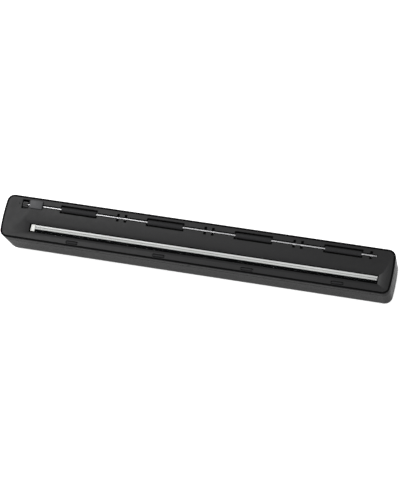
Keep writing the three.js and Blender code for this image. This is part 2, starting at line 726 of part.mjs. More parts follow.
function controlOpenings() {
  const throughBack = [-CUT, BACK_THICKNESS + CUT];
  const recess = roundedRectangle(DISPLAY_LENGTH + 2 * FINE_GAP, DISPLAY_WIDTH + 2 * FINE_GAP, 1.5);
  const display = raise(recess, [-CUT, BUTTON_RECESS + WINDOW_THICKNESS + FINE_GAP]);
  const view = block(
    [-DISPLAY_LENGTH / 2 + DISPLAY_BORDER, DISPLAY_LENGTH / 2 - DISPLAY_BORDER],
    [-DISPLAY_WIDTH / 2 + DISPLAY_BORDER, DISPLAY_WIDTH / 2 - DISPLAY_BORDER],
    throughBack,
  );
  const scanHole = capsule(SCAN_BUTTON_LENGTH + 2 * BUTTON_GAP, SCAN_BUTTON_RADIUS + BUTTON_GAP);
  return [
    display.translate([DISPLAY_X, 0, 0]),
    view.translate([DISPLAY_X, 0, 0]),
    raise(scanHole, throughBack).translate([SCAN_BUTTON_X, 0, 0]),
    ...ROUND_BUTTONS.map(({ margin, radius }) => (
      pillar(radius + BUTTON_GAP, LEFT_END + margin, CONTROL_Y, throughBack)
    )),
    pillar(LIGHT_RADIUS + BUTTON_GAP, LIGHT_X, CONTROL_Y, throughBack, 12),
  ];
}

function roundedRectangle(length, width, radius) {
  const x = length / 2 - radius;
  const y = width / 2 - radius;
  const shape = new THREE.Shape();
  shape.absarc(x, y, radius, 0, Math.PI / 2, false);
  shape.absarc(-x, y, radius, Math.PI / 2, Math.PI, false);
  shape.absarc(-x, -y, radius, Math.PI, 1.5 * Math.PI, false);
  shape.absarc(x, -y, radius, 1.5 * Math.PI, 2 * Math.PI, false);
  return shape;
}

function batteryDoor() {
  const skin = outerHull([0, CELL_Z]).subtract(
    hull([DOOR_THICKNESS, CELL_Z + CUT], DOOR_THICKNESS, DOOR_THICKNESS),
  );
  const panel = skin.intersect(doorPrism(0));
  const gripX = BAY_RIGHT - GRIP_MARGIN;
  const grips = [0, 1, 2].map((k) => block(
    [gripX - GRIP_PITCH * k - GRIP_PITCH / 4, gripX - GRIP_PITCH * k + GRIP_PITCH / 4],
    [CELL_Y - GRIP_HALF_WIDTH, CELL_Y + GRIP_HALF_WIDTH],
    [-CUT, 0.4],
  ));
  return cutAll(panel, ...grips);
}

function gearCover() {
  const y = ROLLER_Y + COVER_SHIFT_Y;
  const lid = block(
    [BUSH_X - COVER_LENGTH / 2, BUSH_X + COVER_LENGTH / 2],
    [y - COVER_WIDTH / 2, y + COVER_WIDTH / 2],
    [HEIGHT + FINE_GAP, HEIGHT + FINE_GAP + COVER_HEIGHT],
  );
  return addAll(lid, ...coverTabs(0).map((tab) => tab.translate([0, 0, 2 * FINE_GAP])));
}

function housingScrew(x) {
  const headTop = SCREW_RECESS + SCREW_HEAD_HEIGHT;
  const screw = addAll(
    pillar(SCREW_HEAD_RADIUS, x, SCREW_Y, [SCREW_RECESS, headTop]),
    pillar(SCREW_RADIUS, x, SCREW_Y, [headTop - FINE_GAP, headTop + SCREW_LENGTH], 12),
  );
  const slot = (alongX, alongY) => block([x - alongX, x + alongX], [SCREW_Y - alongY, SCREW_Y + alongY], [
    0, SCREW_RECESS + 0.7,
  ]);
  return cutAll(screw, slot(1.2, 0.25), slot(0.25, 1.2));
}

// ---------------------------------------------------------------- image sensor

function sensorHousing() {
  const body = block([SENSOR_LEFT, SENSOR_RIGHT], [SENSOR_FRONT, SENSOR_REAR], [SENSOR_BOTTOM, SENSOR_TOP]);
  const innerX = [WINDOW_LEFT + GAP, WINDOW_RIGHT - GAP];
  const channel = block(innerX, [CHANNEL_FRONT, WINDOW_REAR], [SENSOR_TOP - CHANNEL_DEPTH, SENSOR_TOP + CUT]);
  const shelf = block(innerX, [WINDOW_FRONT, CHANNEL_FRONT + FINE_GAP], [
    SENSOR_TOP - SHELF_DEPTH, SENSOR_TOP + CUT,
  ]);
  const boardRecess = block([SENSOR_LEFT + 2, SENSOR_RIGHT - 2], [SENSOR_FRONT + 1, SENSOR_REAR - 1], [
    SENSOR_BOTTOM - CUT, SENSOR_BOTTOM + SENSOR_BOARD_THICKNESS + FINE_GAP,
  ]);
  return cutAll(body, channel, shelf, boardRecess);
}

function sensorGlass() {
  return block(
    [WINDOW_LEFT + GAP, WINDOW_RIGHT - GAP],
    [WINDOW_FRONT + GAP, WINDOW_REAR - GAP],
    [SENSOR_TOP + FINE_GAP, HEIGHT - BEVEL_DEPTH],
  );
}

function lensArray() {
  const y0 = CHANNEL_FRONT + FINE_GAP;
  return block([STRIP_LEFT, STRIP_RIGHT], [y0, y0 + LENS_WIDTH], [STRIP_TOP - LENS_HEIGHT, STRIP_TOP]);
}

// Clear bar beside the lens row, with one long face cut at a slant towards it.
function lightGuide() {
  const y0 = CHANNEL_FRONT + FINE_GAP + LENS_WIDTH + GAP;
  const slant = 0.6;
  const shape = new THREE.Shape([
    new THREE.Vector2(0, slant),
    new THREE.Vector2(slant, 0),
    new THREE.Vector2(GUIDE_HEIGHT, 0),
    new THREE.Vector2(GUIDE_HEIGHT, GUIDE_WIDTH),
    new THREE.Vector2(0, GUIDE_WIDTH),
  ]);
  return push(shape, [STRIP_LEFT, STRIP_RIGHT], y0, STRIP_TOP);
}

function ledBlock() {
  const x1 = STRIP_LEFT - GAP;
  const x0 = x1 - LED_BLOCK_LENGTH;
  const rear = WINDOW_REAR - GAP;
  const cap = block([x0, x1], [LED_BLOCK_FRONT, rear], [STRIP_TOP - SHELF_DEPTH + 2 * GAP, STRIP_TOP]);
  const stem = block([x0, x1], [CHANNEL_FRONT + GAP, rear], [STRIP_TOP - GUIDE_HEIGHT, STRIP_TOP]);
  return cap.add(stem);
}

function sensorBoard() {
  return block([SENSOR_LEFT + 2.3, SENSOR_RIGHT - 2.3], [SENSOR_FRONT + 1.3, SENSOR_REAR - 1.3], [
    SENSOR_BOTTOM, SENSOR_BOTTOM + SENSOR_BOARD_THICKNESS,
  ]);
}

// A strip of constant thickness that follows points in the XZ plane, seen as [x, z].
function bentStrip(points, thickness, [y0, y1]) {
  const path = points.map(([x, z]) => new THREE.Vector2(x, z));
  const normals = path.map((point, k) => {
    const before = path[Math.max(k - 1, 0)];
    const after = path[Math.min(k + 1, path.length - 1)];
    const along = after.clone().sub(before).normalize();
    return new THREE.Vector2(-along.y, along.x).multiplyScalar(thickness / 2);
  });
  const upper = path.map((point, k) => point.clone().add(normals[k]));
  const lower = path.map((point, k) => point.clone().sub(normals[k]));
  const geometry = new THREE.ExtrudeGeometry(new THREE.Shape([...lower, ...upper.reverse()]), {
    depth: y1 - y0,
    bevelEnabled: false,
  });
  geometry.rotateX(Math.PI / 2);
  geometry.translate(0, y1, 0);
  return toSolid(geometry);
}

// Bowed leaf spring between the board level and the underside of the sensor.
function sensorSpring(x) {
  const low = BOARD_TOP + FINE_GAP + LEAF_THICKNESS;
  const high = SENSOR_BOTTOM - FINE_GAP - LEAF_THICKNESS;
  const steps = 12;
  const points = Array.from({ length: steps + 1 }, (_, k) => {
    const share = k / steps;
    return [x + (share - 0.5) * LEAF_LENGTH, low + (high - low) * Math.sin(share * Math.PI) ** 2];
  });
  return bentStrip(points, LEAF_THICKNESS, [SENSOR_Y - LEAF_WIDTH / 2, SENSOR_Y + LEAF_WIDTH / 2]);
}

// Flat ribbon that folds once between the sensor board and the main board.
function ribbonCable() {
  const x = LEFT_SCREW_X + 46;
  const low = BOARD_TOP + FINE_GAP + 0.15;
  const high = SENSOR_BOTTOM - FINE_GAP - 0.15;
  const bend = (high - low) / 2;
  const points = [[x - 7, low]];
  for (let step = 0; step <= 8; step += 1) {
    const angle = -Math.PI / 2 + (step / 8) * Math.PI;
    points.push([x + bend * Math.cos(angle), low + bend + bend * Math.sin(angle)]);
  }
  points.push([x - 9, high]);
  return bentStrip(points, 0.2, [SENSOR_Y - RIBBON_WIDTH / 2, SENSOR_Y + RIBBON_WIDTH / 2]);
}

// ---------------------------------------------------------------- rollers, gears and encoder

function rollerShaft() {
  return rod(SHAFT_RADIUS, [SHAFT_LEFT, SHAFT_RIGHT], ROLLER_Y, SHAFT_Z, 16);
}

function driveRoller(x) {
  const span = [x - ROLLER_LENGTH / 2, x + ROLLER_LENGTH / 2];
  return tube(ROLLER_RADIUS, SHAFT_RADIUS + RUNNING_GAP, span, ROLLER_Y, SHAFT_Z, 24);
}

// Bush with its top cut level with the plate, under the cover.
function shaftBush() {
  const span = [BUSH_X - BUSH_LENGTH / 2, BUSH_X + BUSH_LENGTH / 2];
  const bush = tube(BUSH_RADIUS, SHAFT_RADIUS + RUNNING_GAP, span, ROLLER_Y, SHAFT_Z, 16);
  return bush.subtract(block([span[0] - CUT, span[1] + CUT], [0, WIDTH], [HEIGHT, HEIGHT + 2 * CUT]));
}

// Outline of a gear with involute flanks; the first tooth is centred on the given angle.
function gearOutline(teeth, firstAngle) {
  const pressure = Math.PI / 9;
  const pitchRadius = GEAR_MODULE * teeth / 2;
  const baseRadius = pitchRadius * Math.cos(pressure);
  const tipRadius = pitchRadius + 0.85 * GEAR_MODULE;
  const rootRadius = pitchRadius - 1.2 * GEAR_MODULE;
  const involute = (angle) => Math.tan(angle) - angle;
  const halfPitch = Math.PI / (2 * teeth) - GEAR_BACKLASH / (2 * pitchRadius);
  const halfAngle = (radius) => {
    const angle = Math.acos(Math.min(1, baseRadius / radius));
    return halfPitch + involute(pressure) - involute(angle);
  };
  const middleRadius = (Math.max(baseRadius, rootRadius) + tipRadius) / 2;
  const flank = [rootRadius, Math.max(baseRadius, rootRadius), middleRadius, tipRadius];
  const points = [];
  for (let tooth = 0; tooth < teeth; tooth += 1) {
    const centre = firstAngle + tooth * 2 * Math.PI / teeth;
    const addPoint = (radius, side) => {
      const angle = centre + side * halfAngle(radius);
      points.push(new THREE.Vector2(radius * Math.cos(angle), radius * Math.sin(angle)));
    };
    flank.forEach((radius) => addPoint(radius, -1));
    [...flank].reverse().forEach((radius) => addPoint(radius, 1));
  }
  return new THREE.Shape(points);
}

function withBore(shape, radius) {
  shape.holes.push(new THREE.Path().absarc(0, 0, radius, 0, 2 * Math.PI, true));
  return shape;
}

const gearSpan = [GEAR_X - GEAR_WIDTH / 2, GEAR_X + GEAR_WIDTH / 2];

function shaftGear() {
  const towardsEncoder = Math.atan2(ENCODER_OFFSET_Y, ENCODER_DROP);
  const outline = gearOutline(SHAFT_GEAR_TEETH, towardsEncoder);
  return push(withBore(outline, SHAFT_RADIUS + RUNNING_GAP / 2), gearSpan, ROLLER_Y, SHAFT_Z, 8);
}

// Encoder gear with the hub that carries the slotted wheel.
function encoderGear() {
  const towardsShaft = Math.atan2(-ENCODER_OFFSET_Y, -ENCODER_DROP);
  const outline = gearOutline(ENCODER_GEAR_TEETH, towardsShaft + Math.PI / ENCODER_GEAR_TEETH);
  const bore = AXLE_RADIUS + RUNNING_GAP;
  const wheel = push(outline, gearSpan, ENCODER_Y, ENCODER_Z);
  const hub = rod(HUB_RADIUS, [WHEEL_X - 1.2, GEAR_X], ENCODER_Y, ENCODER_Z, 16);
  return wheel.add(hub).subtract(rod(bore, [WHEEL_X - 2, GEAR_X + GEAR_WIDTH], ENCODER_Y, ENCODER_Z, 16));
}

function encoderWheel() {
  const span = [WHEEL_X - WHEEL_THICKNESS / 2, WHEEL_X + WHEEL_THICKNESS / 2];
  const disc = tube(WHEEL_RADIUS, HUB_RADIUS + 0.05, span, ENCODER_Y, ENCODER_Z, 24);
  const slits = Array.from({ length: WHEEL_SLITS }, (_, k) => {
    const slit = block([span[0] - CUT, span[1] + CUT], [-0.2, 0.2], [WHEEL_RADIUS - 0.9, WHEEL_RADIUS - 0.3]);
    return slit.rotate([k * 360 / WHEEL_SLITS, 0, 0]).translate([0, ENCODER_Y, ENCODER_Z]);
  });
  return cutAll(disc, ...slits);
}

function encoderAxle() {
  const span = [LEFT_LUG_X + FINE_GAP, RIGHT_LUG_X + LUG_THICKNESS - FINE_GAP];
  return rod(AXLE_RADIUS, span, ENCODER_Y, ENCODER_Z, 12);
}

// Fork-shaped light gate on a tall riser, which the slotted wheel turns through.
function encoderSensor() {
  const z0 = BOARD_TOP + FINE_GAP;
  const z1 = ENCODER_Z - HUB_RADIUS - GAP;
  const body = block([WHEEL_X - GATE_HALF_WIDTH, WHEEL_X + GATE_HALF_WIDTH], [
    ENCODER_Y - GATE_HALF_WIDTH, ENCODER_Y + GATE_HALF_WIDTH,
  ], [z0, z1]);
  const slot = block([WHEEL_X - 0.7, WHEEL_X + 0.7], [ENCODER_Y - 3, ENCODER_Y + 3], [
    ENCODER_Z - WHEEL_RADIUS - GAP, z1 + CUT,
  ]);
  return body.subtract(slot);
}

function idlerRoller(x) {
  const span = [x - IDLER_LENGTH / 2, x + IDLER_LENGTH / 2];
  return tube(IDLER_RADIUS, IDLER_PIN_RADIUS + RUNNING_GAP, span, IDLER_Y, IDLER_Z, 16);
}

function idlerPin(x) {
  return rod(IDLER_PIN_RADIUS, [x - IDLER_PIN_LENGTH / 2, x + IDLER_PIN_LENGTH / 2], IDLER_Y, IDLER_Z, 10);
}

// ---------------------------------------------------------------- electronics and controls

function mainBoard() {
  const inside = hull([BOARD_Z, BOARD_TOP], SHELL_WALL + GAP, BACK_THICKNESS);
  const board = inside.intersect(block([LEFT_END, BOARD_RIGHT], [-WIDTH, WIDTH], [0, HEIGHT]));
  const hole = pillar(SCREW_BOSS_RADIUS + GAP, LEFT_SCREW_X, SCREW_Y, [BOARD_Z - CUT, BOARD_TOP + CUT]);
  return board.subtract(hole);
}

function displayModule() {
  return block(
    [DISPLAY_X - DISPLAY_LENGTH / 2 - 1, DISPLAY_X + DISPLAY_LENGTH / 2 + 1],
    [-DISPLAY_WIDTH / 2, DISPLAY_WIDTH / 2],
    [BACK_THICKNESS + FINE_GAP, BACK_THICKNESS + FINE_GAP + DISPLAY_HEIGHT],
  );
}

function displayWindow() {
  const pane = raise(roundedRectangle(DISPLAY_LENGTH, DISPLAY_WIDTH, 1.4), [
    BUTTON_RECESS, BUTTON_RECESS + WINDOW_THICKNESS,
  ]);
  return pane.translate([DISPLAY_X, 0, 0]);
}

// A button: cap in its hole, flange behind the back wall, and a stem up to its switch.
function button(cap, flange, x, y) {
  const flangeZ = BACK_THICKNESS + FINE_GAP;
  return addAll(
    raise(cap, [BUTTON_RECESS, flangeZ + FINE_GAP]).translate([x, y, 0]),
    raise(flange, [flangeZ, flangeZ + FLANGE_THICKNESS]).translate([x, y, 0]),
    pillar(1.2, x, y, [flangeZ, PLUNGER_Z - BUTTON_TRAVEL - FINE_GAP], 12),
  );
}

function roundButton({ margin, radius }) {
  return button(circle(radius), circle(radius + BUTTON_FLANGE), LEFT_END + margin, CONTROL_Y);
}

function scanButton() {
  const cap = capsule(SCAN_BUTTON_LENGTH, SCAN_BUTTON_RADIUS);
  const flange = capsule(SCAN_BUTTON_LENGTH + 2 * BUTTON_FLANGE, SCAN_BUTTON_RADIUS + BUTTON_FLANGE);
  return button(cap, flange, SCAN_BUTTON_X, 0);
}

function tactSwitch(x, y) {
  const half = SWITCH_SIZE / 2;
  const body = block([x - half, x + half], [y - half, y + half], [SWITCH_TOP - SWITCH_HEIGHT, SWITCH_TOP]);
  return body.add(pillar(0.9, x, y, [PLUNGER_Z, SWITCH_TOP - SWITCH_HEIGHT + FINE_GAP], 12));
}

function statusLightPipe() {
  const flangeZ = BACK_THICKNESS + FINE_GAP;
  return addAll(
    pillar(LIGHT_RADIUS, LIGHT_X, CONTROL_Y, [BUTTON_RECESS, BOARD_Z - GAP], 12),
    pillar(LIGHT_RADIUS + 0.7, LIGHT_X, CONTROL_Y, [flangeZ, flangeZ + FLANGE_THICKNESS], 12),
  );
}

function usbSocket() {
  const z0 = BOARD_TOP + FINE_GAP;
  const y0 = USB_Y - USB_WIDTH / 2;
  const can = block([USB_LEFT, USB_LEFT + USB_LENGTH], [y0, y0 + USB_WIDTH], [z0, z0 + USB_HEIGHT]);
  const mouth = block([USB_LEFT - CUT, USB_LEFT + USB_LENGTH - 1.5], [y0 + USB_WALL, y0 + USB_WIDTH - USB_WALL], [
    z0 + USB_WALL, z0 + USB_HEIGHT - USB_WALL,
  ]);
  const tongue = block([USB_LEFT + 1, USB_LEFT + USB_LENGTH - 1], [y0 + 1.6, y0 + USB_WIDTH - 1.6], [
    z0 + 1.6, z0 + 2.3,
  ]);
  return can.subtract(mouth).add(tongue);
}

function memoryCardSocket() {
  const z1 = BOARD_Z - FINE_GAP;
  const x0 = LEFT_END + CARD_MARGIN;
  const can = block([x0, x0 + CARD_LENGTH], [-CARD_WIDTH / 2, CARD_WIDTH / 2], [z1 - CARD_HEIGHT, z1]);
  const slotZ = z1 - CARD_HEIGHT + GAP;
  const mouth = block([x0 - CUT, x0 + CARD_LENGTH - 2], [-CARD_SLOT_WIDTH / 2, CARD_SLOT_WIDTH / 2], [
    slotZ, slotZ + CARD_SLOT_HEIGHT,
  ]);
  return can.subtract(mouth);
}

function batteryCell(index) {
  const x0 = BAY_LEFT + CONTACT_THICKNESS + CONTACT_SPRING + 2 * GAP + index * (CELL_LENGTH + GAP);
  const x1 = x0 + CELL_LENGTH;
  const can = rod(CELL_RADIUS, [x0, x1 - CELL_NUB_LENGTH], CELL_Y, CELL_Z, 28);
  return can.add(rod(CELL_NUB_RADIUS, [x1 - CELL_NUB_LENGTH - FINE_GAP, x1], CELL_Y, CELL_Z, 16));
}

function contactPlate(x0) {
  return block([x0, x0 + CONTACT_THICKNESS], [CELL_Y - 3.6, CELL_Y + 3.6], [CELL_Z - 3.4, CELL_Z + 3.4]);
}

function positiveContact() {
  return contactPlate(BAY_RIGHT - CONTACT_THICKNESS - FINE_GAP);
}

// Contact plate with a cone of three stepped turns that presses on the cell.
function negativeContact() {
  const x0 = BAY_LEFT + FINE_GAP;
  const face = x0 + CONTACT_THICKNESS;
  const turns = [2.9, 2.3, 1.7].map((radius, k) => {
    const step = CONTACT_SPRING / 3;
    return rod(radius, [face + k * step - FINE_GAP, face + (k + 1) * step], CELL_Y, CELL_Z, 16);
  });
  return addAll(contactPlate(x0), ...turns);
}

// ---------------------------------------------------------------- materials

function material(color, roughness, metalness = 0, extra = {}) {
  return new THREE.MeshStandardMaterial({ color, roughness, metalness, ...extra });
}

const plateBlack = material(0x2b2b2d, 0.55);
const shellBlack = material(0x141416, 0.18);
const coverGrey = material(0x3a3a40, 0.4);
const housingBlack = material(0x0b0b0c, 0.6);
const sensorGlassClear = material(0xdfe8ea, 0.05, 0, { transparent: true, opacity: 0.3 });
const lightGuideClear = material(0xf2f4f2, 0.2);
const lensWhite = material(0xe8e8e4, 0.35);
const ledWhite = material(0xf0f0ec, 0.5);
const rubber = material(0x1b1b1c, 0.8);
const steel = material(0xb8babd, 0.25, 1);
const springSteel = material(0xa8a8a4, 0.35, 1);
const gearNylon = material(0x4a4a4a, 0.5);
const bronze = material(0xa8793e, 0.4, 1);
const boardGreen = material(0x1d5a34, 0.5);
const chipBlack = material(0x18181a, 0.6);
const ribbonTan = material(0xb98a4a, 0.5);
const displayGrey = material(0x8d978a, 0.3);
const windowClear = material(0x20242a, 0.05, 0, { transparent: true, opacity: 0.4 });
const buttonGrey = material(0x9a9ca0, 0.35);
const lightPipe = material(0xd8e4d8, 0.2);
const nickel = material(0xc8c8c6, 0.3, 1);
const cellWrap = material(0x2f4f7a, 0.4);

// ---------------------------------------------------------------- assembly

const scanner = new THREE.Group();
scanner.name = 'document_scanner';

function add(name, solid, surface) {
  const mesh = new THREE.Mesh(toGeometry(solid), surface);
  mesh.name = name;
  scanner.add(mesh);
}

add('back_shell', backShell(), shellBlack);
add('side_frame', sideFrame(), shellBlack);
add('scan_plate', scanPlate(), plateBlack);
add('gear_cover', gearCover(), coverGrey);
SCREW_PLACES.forEach((x, k) => add(`housing_screw_${k + 1}`, housingScrew(x), steel));

add('sensor_housing', sensorHousing(), housingBlack);
add('sensor_glass', sensorGlass(), sensorGlassClear);
add('lens_array', lensArray(), lensWhite);
add('light_guide', lightGuide(), lightGuideClear);
add('led_block', ledBlock(), ledWhite);
add('sensor_board', sensorBoard(), boardGreen);
add('sensor_spring_left', sensorSpring(SPRING_PLACES[0]), springSteel);
add('sensor_spring_right', sensorSpring(SPRING_PLACES[1]), springSteel);
add('ribbon_cable', ribbonCable(), ribbonTan);

add('roller_shaft', rollerShaft(), steel);
rollerPlaces.forEach((x, k) => add(`drive_roller_${k + 1}`, driveRoller(x), rubber));
add('shaft_gear', shaftGear(), gearNylon);
add('shaft_bush', shaftBush(), bronze);
add('encoder_gear', encoderGear(), gearNylon);
add('encoder_wheel', encoderWheel(), chipBlack);
add('encoder_axle', encoderAxle(), steel);
add('encoder_sensor', encoderSensor(), chipBlack);
rollerPlaces.forEach((x, k) => {
  add(`idler_roller_${k + 1}`, idlerRoller(x), rubber);
  add(`idler_pin_${k + 1}`, idlerPin(x), steel);
});

add('main_board', mainBoard(), boardGreen);
add('display_module', displayModule(), displayGrey);
add('display_window', displayWindow(), windowClear);
add('scan_button', scanButton(), buttonGrey);
add('scan_switch', tactSwitch(SCAN_BUTTON_X, 0), chipBlack);
ROUND_BUTTONS.forEach((place) => {
  add(`${place.name}_button`, roundButton(place), buttonGrey);
  add(`${place.name}_switch`, tactSwitch(LEFT_END + place.margin, CONTROL_Y), chipBlack);
});
add('status_light_pipe', statusLightPipe(), lightPipe);
add('usb_socket', usbSocket(), nickel);
add('memory_card_socket', memoryCardSocket(), nickel);

for (let k = 0; k < CELL_COUNT; k += 1) {
  add(`battery_cell_${k + 1}`, batteryCell(k), cellWrap);
}
add('battery_contact_positive', positiveContact(), nickel);
add('battery_contact_negative', negativeContact(), nickel);
add('battery_door', batteryDoor(), shellBlack);

export default scanner;
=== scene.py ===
"""Looks of the handheld document scanner bar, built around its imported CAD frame.

Lengths are in millimetres until a mesh is made. +X runs along the bar, +Y points to the drive
rollers and +Z out of the scan face, with the origin under the middle of the bar.
"""

import math

import bmesh
import bpy
from mathutils import Matrix, Vector


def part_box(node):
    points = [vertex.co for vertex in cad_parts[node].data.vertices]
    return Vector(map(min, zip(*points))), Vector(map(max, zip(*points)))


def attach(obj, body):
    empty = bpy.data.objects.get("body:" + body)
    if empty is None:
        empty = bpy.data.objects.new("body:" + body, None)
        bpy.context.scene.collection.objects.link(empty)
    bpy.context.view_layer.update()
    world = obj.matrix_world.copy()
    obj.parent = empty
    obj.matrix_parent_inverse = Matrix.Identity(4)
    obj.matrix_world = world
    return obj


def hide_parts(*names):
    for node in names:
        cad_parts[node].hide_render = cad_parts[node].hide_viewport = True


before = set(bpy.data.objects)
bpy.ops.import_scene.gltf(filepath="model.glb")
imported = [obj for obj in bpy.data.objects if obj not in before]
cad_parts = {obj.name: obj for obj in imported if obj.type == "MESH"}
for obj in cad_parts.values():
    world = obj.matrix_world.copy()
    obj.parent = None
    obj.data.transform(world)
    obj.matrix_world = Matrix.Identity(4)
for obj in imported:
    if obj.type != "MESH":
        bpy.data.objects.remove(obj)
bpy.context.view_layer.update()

MM = 0.001


def box_mm(node):
    """Lowest and highest corner of a CAD node, in millimetres."""
    low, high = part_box(node)
    return low / MM, high / MM


# ------------------------------------------------------------------ sizes shared with the CAD model

CORNER_RADIUS = 4.4
END_BULGE = 0.8
DRAFT_DEPTH = 22.0
DRAFT_INSET = 0.56
BELLY_INSET = 1.5
FRAME_WALL = 1.9
SHELL_WALL = 1.6
BACK_THICKNESS = 2.2
TONGUE_HEIGHT = 1.1
TONGUE_WALL = 0.6
LIP_WIDTH = 0.9
PLATE_GAP = 0.25
PLATE_THICKNESS = 1.6
BEVEL_DEPTH = 0.8
BEVEL_REACHES = (4.0, 2.8, 1.5, 2.2)  # left, right, front and rear
GAP = 0.3
FINE_GAP = 0.1

# Trough, slots and notches of the drive shaft
ROLLER_SIDE_GAP = 1.05
ROLLER_END_GAP = 0.8
ROLLER_FLOOR_GAP = 0.65
WELL_WALL = 0.6
WELL_FLOOR = 1.0
SHAFT_BORE = 0.75
SLOT_HALF_WIDTH = 1.05
SADDLE_HALF_WIDTH = 0.75
NOTCH_WIDTH = 1.7
NOTCH_SPREAD = 2.5
NOTCH_HALF_LENGTH = 2.6
NOTCH_DROP = 1.95
END_NOTCH_OFFSET = 3.8
TROUGH_PAST_SHAFT = 2.0
POCKET_HALF_LENGTH = 2.25
POCKET_HALF_WIDTH = 3.0

# Cups of the idler rollers
IDLER_SLOT_HALF_LENGTH = 4.1
IDLER_SLOT_RADIUS = 1.0
IDLER_CUP_WALL = 0.4
IDLER_BORE = 0.45
PIN_ROOM_HALF = 0.45

# Lugs, posts and the pip under and on the scan plate
LUG_THICKNESS = 1.2
LUG_HALF_WIDTH = 1.5
LUG_DROP = 0.9
AXLE_BORE = 0.6
POST_RADIUS = 2.1
POST_LOW = 7.3
PIP_MARGIN = 9.0
PIP_RADIUS = 0.5
PIP_RISE = 0.2

# Bosses, bay and openings of the back shell
BOSS_RADIUS = 2.9
BOSS_TOP = 7.0
BOSS_SINK = 0.5  # how far bosses and walls run into the back
SPRING_SEAT_RADIUS = 2.5
SPRING_SEAT_GAP = 0.23
SCREW_BORE = 1.1
SCREW_HEAD_RADIUS = 1.9
SCREW_HEAD_HEIGHT = 1.4
SCREW_HEAD_ROOM = 3.7
POST_BORE_TOP = 16.5
BAY_WALL = 1.0
DOOR_GAP = 0.2
DOOR_THICKNESS = 1.5
DOOR_OPENING_TOP = 7.0
DOOR_CORNER = 0.4
GRIP_COUNT = 5
GRIP_PITCH = 1.6
GRIP_MARGIN = 7.0
GRIP_HALF_LENGTH = 4.0
GRIP_DEPTH = 0.4

# Legs of the gear cover
COVER_LEG_HALF_LENGTH = 2.0
COVER_LEG_HALF_WIDTH = 0.3
COVER_LEG_INSET = 0.4

# Ports, display, buttons and status light
USB_WALL = 0.35
CARD_SIDE = 0.7
CARD_SLOT_TOP = 1.5
DISPLAY_BORDER = 1.8
BUTTON_GAP = 0.2
BUTTON_FLANGE = 0.7
FLANGE_THICKNESS = 0.7
STEM_RADIUS = 1.2
LIGHT_RADIUS = 1.1
LIGHT_FLANGE_RADIUS = 1.8

# Windows in the front wall
LATCH_PLACES = (-61.5, -1.0, 60.2)
LATCH_HALF_LENGTH = 1.2
LATCH_TOP = 2.6
MARK_MARGIN = 12.3
MARK_HALF_LENGTH = 0.7
MARK_TOP = 4.1
FRONT_WINDOW_HEIGHT = 0.8
FRONT_WINDOW_DEPTH = 1.2

frame_low, frame_high = box_mm("side_frame")
HALF_LENGTH = frame_high.x
HALF_WIDTH = frame_high.y
TOP = frame_high.z
PARTING_Z = frame_low.z + TONGUE_HEIGHT
SHELL_TOP = box_mm("back_shell")[1].z
PLATE_BOTTOM = TOP - PLATE_THICKNESS
SEAT_Z = PLATE_BOTTOM - FINE_GAP
gear_low, gear_high = box_mm("shaft_gear")
LUG_RIGHT = (gear_low.x + gear_high.x) / 2 + POCKET_HALF_LENGTH + GAP

# Ribs of the lens row
LENS_PITCH = 1.2
RIB_HEIGHT = 0.22

# Finish of the moulded edges
LIP_FILLET = 0.35
EDGE = 0.12
CUT = 1.0
OUTLINE_STEPS = 16
PROFILE_STEPS = 22


# ------------------------------------------------------------------ mesh helpers


def new_object(name, mesh):
    obj = bpy.data.objects.new(name, mesh)
    bpy.context.scene.collection.objects.link(obj)
    return obj


def from_bmesh(name, bm):
    """Object made of a bmesh in millimetres."""
    bmesh.ops.recalc_face_normals(bm, faces=bm.faces)
    bmesh.ops.scale(bm, vec=(MM, MM, MM), verts=bm.verts)
    mesh = bpy.data.meshes.new(name)
    bm.to_mesh(mesh)
    bm.free()
    return new_object(name, mesh)


def smooth(obj, angle=32):
    """Smooth shading with sharp edges where faces meet at more than the angle."""
    obj.data.polygons.foreach_set("use_smooth", [True] * len(obj.data.polygons))
    obj.data.set_sharp_from_angle(angle=math.radians(angle))
    obj.data.update()
    return obj


def loft(name, levels, ring=False):
    """Closed solid through stacked outlines, each a list of (x, y) with its z.

    A ring joins its last level to its first, like a picture frame.
    """
    bm = bmesh.new()
    rings = [[bm.verts.new((x, y, z)) for x, y in outline] for outline, z in levels]
    pairs = list(zip(rings, rings[1:]))
    if ring:
        pairs.append((rings[-1], rings[0]))
    for low, high in pairs:
        for k in range(len(low)):
            after = (k + 1) % len(low)
            bm.faces.new((low[k], low[after], high[after], high[k]))
    if not ring:
        bm.faces.new(rings[0])
        bm.faces.new(rings[-1])
    return from_bmesh(name, bm)


def block(name, low, high):
    outline = [(high[0], high[1]), (low[0], high[1]), (low[0], low[1]), (high[0], low[1])]
    return loft(name, [(outline, low[2]), (outline, high[2])])


def lathe(name, profile, y, z, segments=48):
    """Solid turned about a line along X. The profile is a closed list of (x, radius)."""
    bm = bmesh.new()
    rows = []
    for x, radius in profile:
        if radius == 0:
            rows.append([bm.verts.new((x, y, z))])
            continue
        angles = [2 * math.pi * k / segments for k in range(segments)]
        rows.append([bm.verts.new((x, y + radius * math.cos(a), z + radius * math.sin(a))) for a in angles])
    closed = rows[0] if len(rows[0]) > 1 else None
    pairs = list(zip(rows, rows[1:]))
    if closed is not None:
        pairs.append((rows[-1], rows[0]))
    for row, other in pairs:
        for k in range(segments):
            after = (k + 1) % segments
            corners = [row[k % len(row)], row[after % len(row)]]
            corners += [other[after % len(other)], other[k % len(other)]]
            corners = list(dict.fromkeys(corners))
            if len(corners) > 2:
                bm.faces.new(corners)
    return from_bmesh(name, bm)


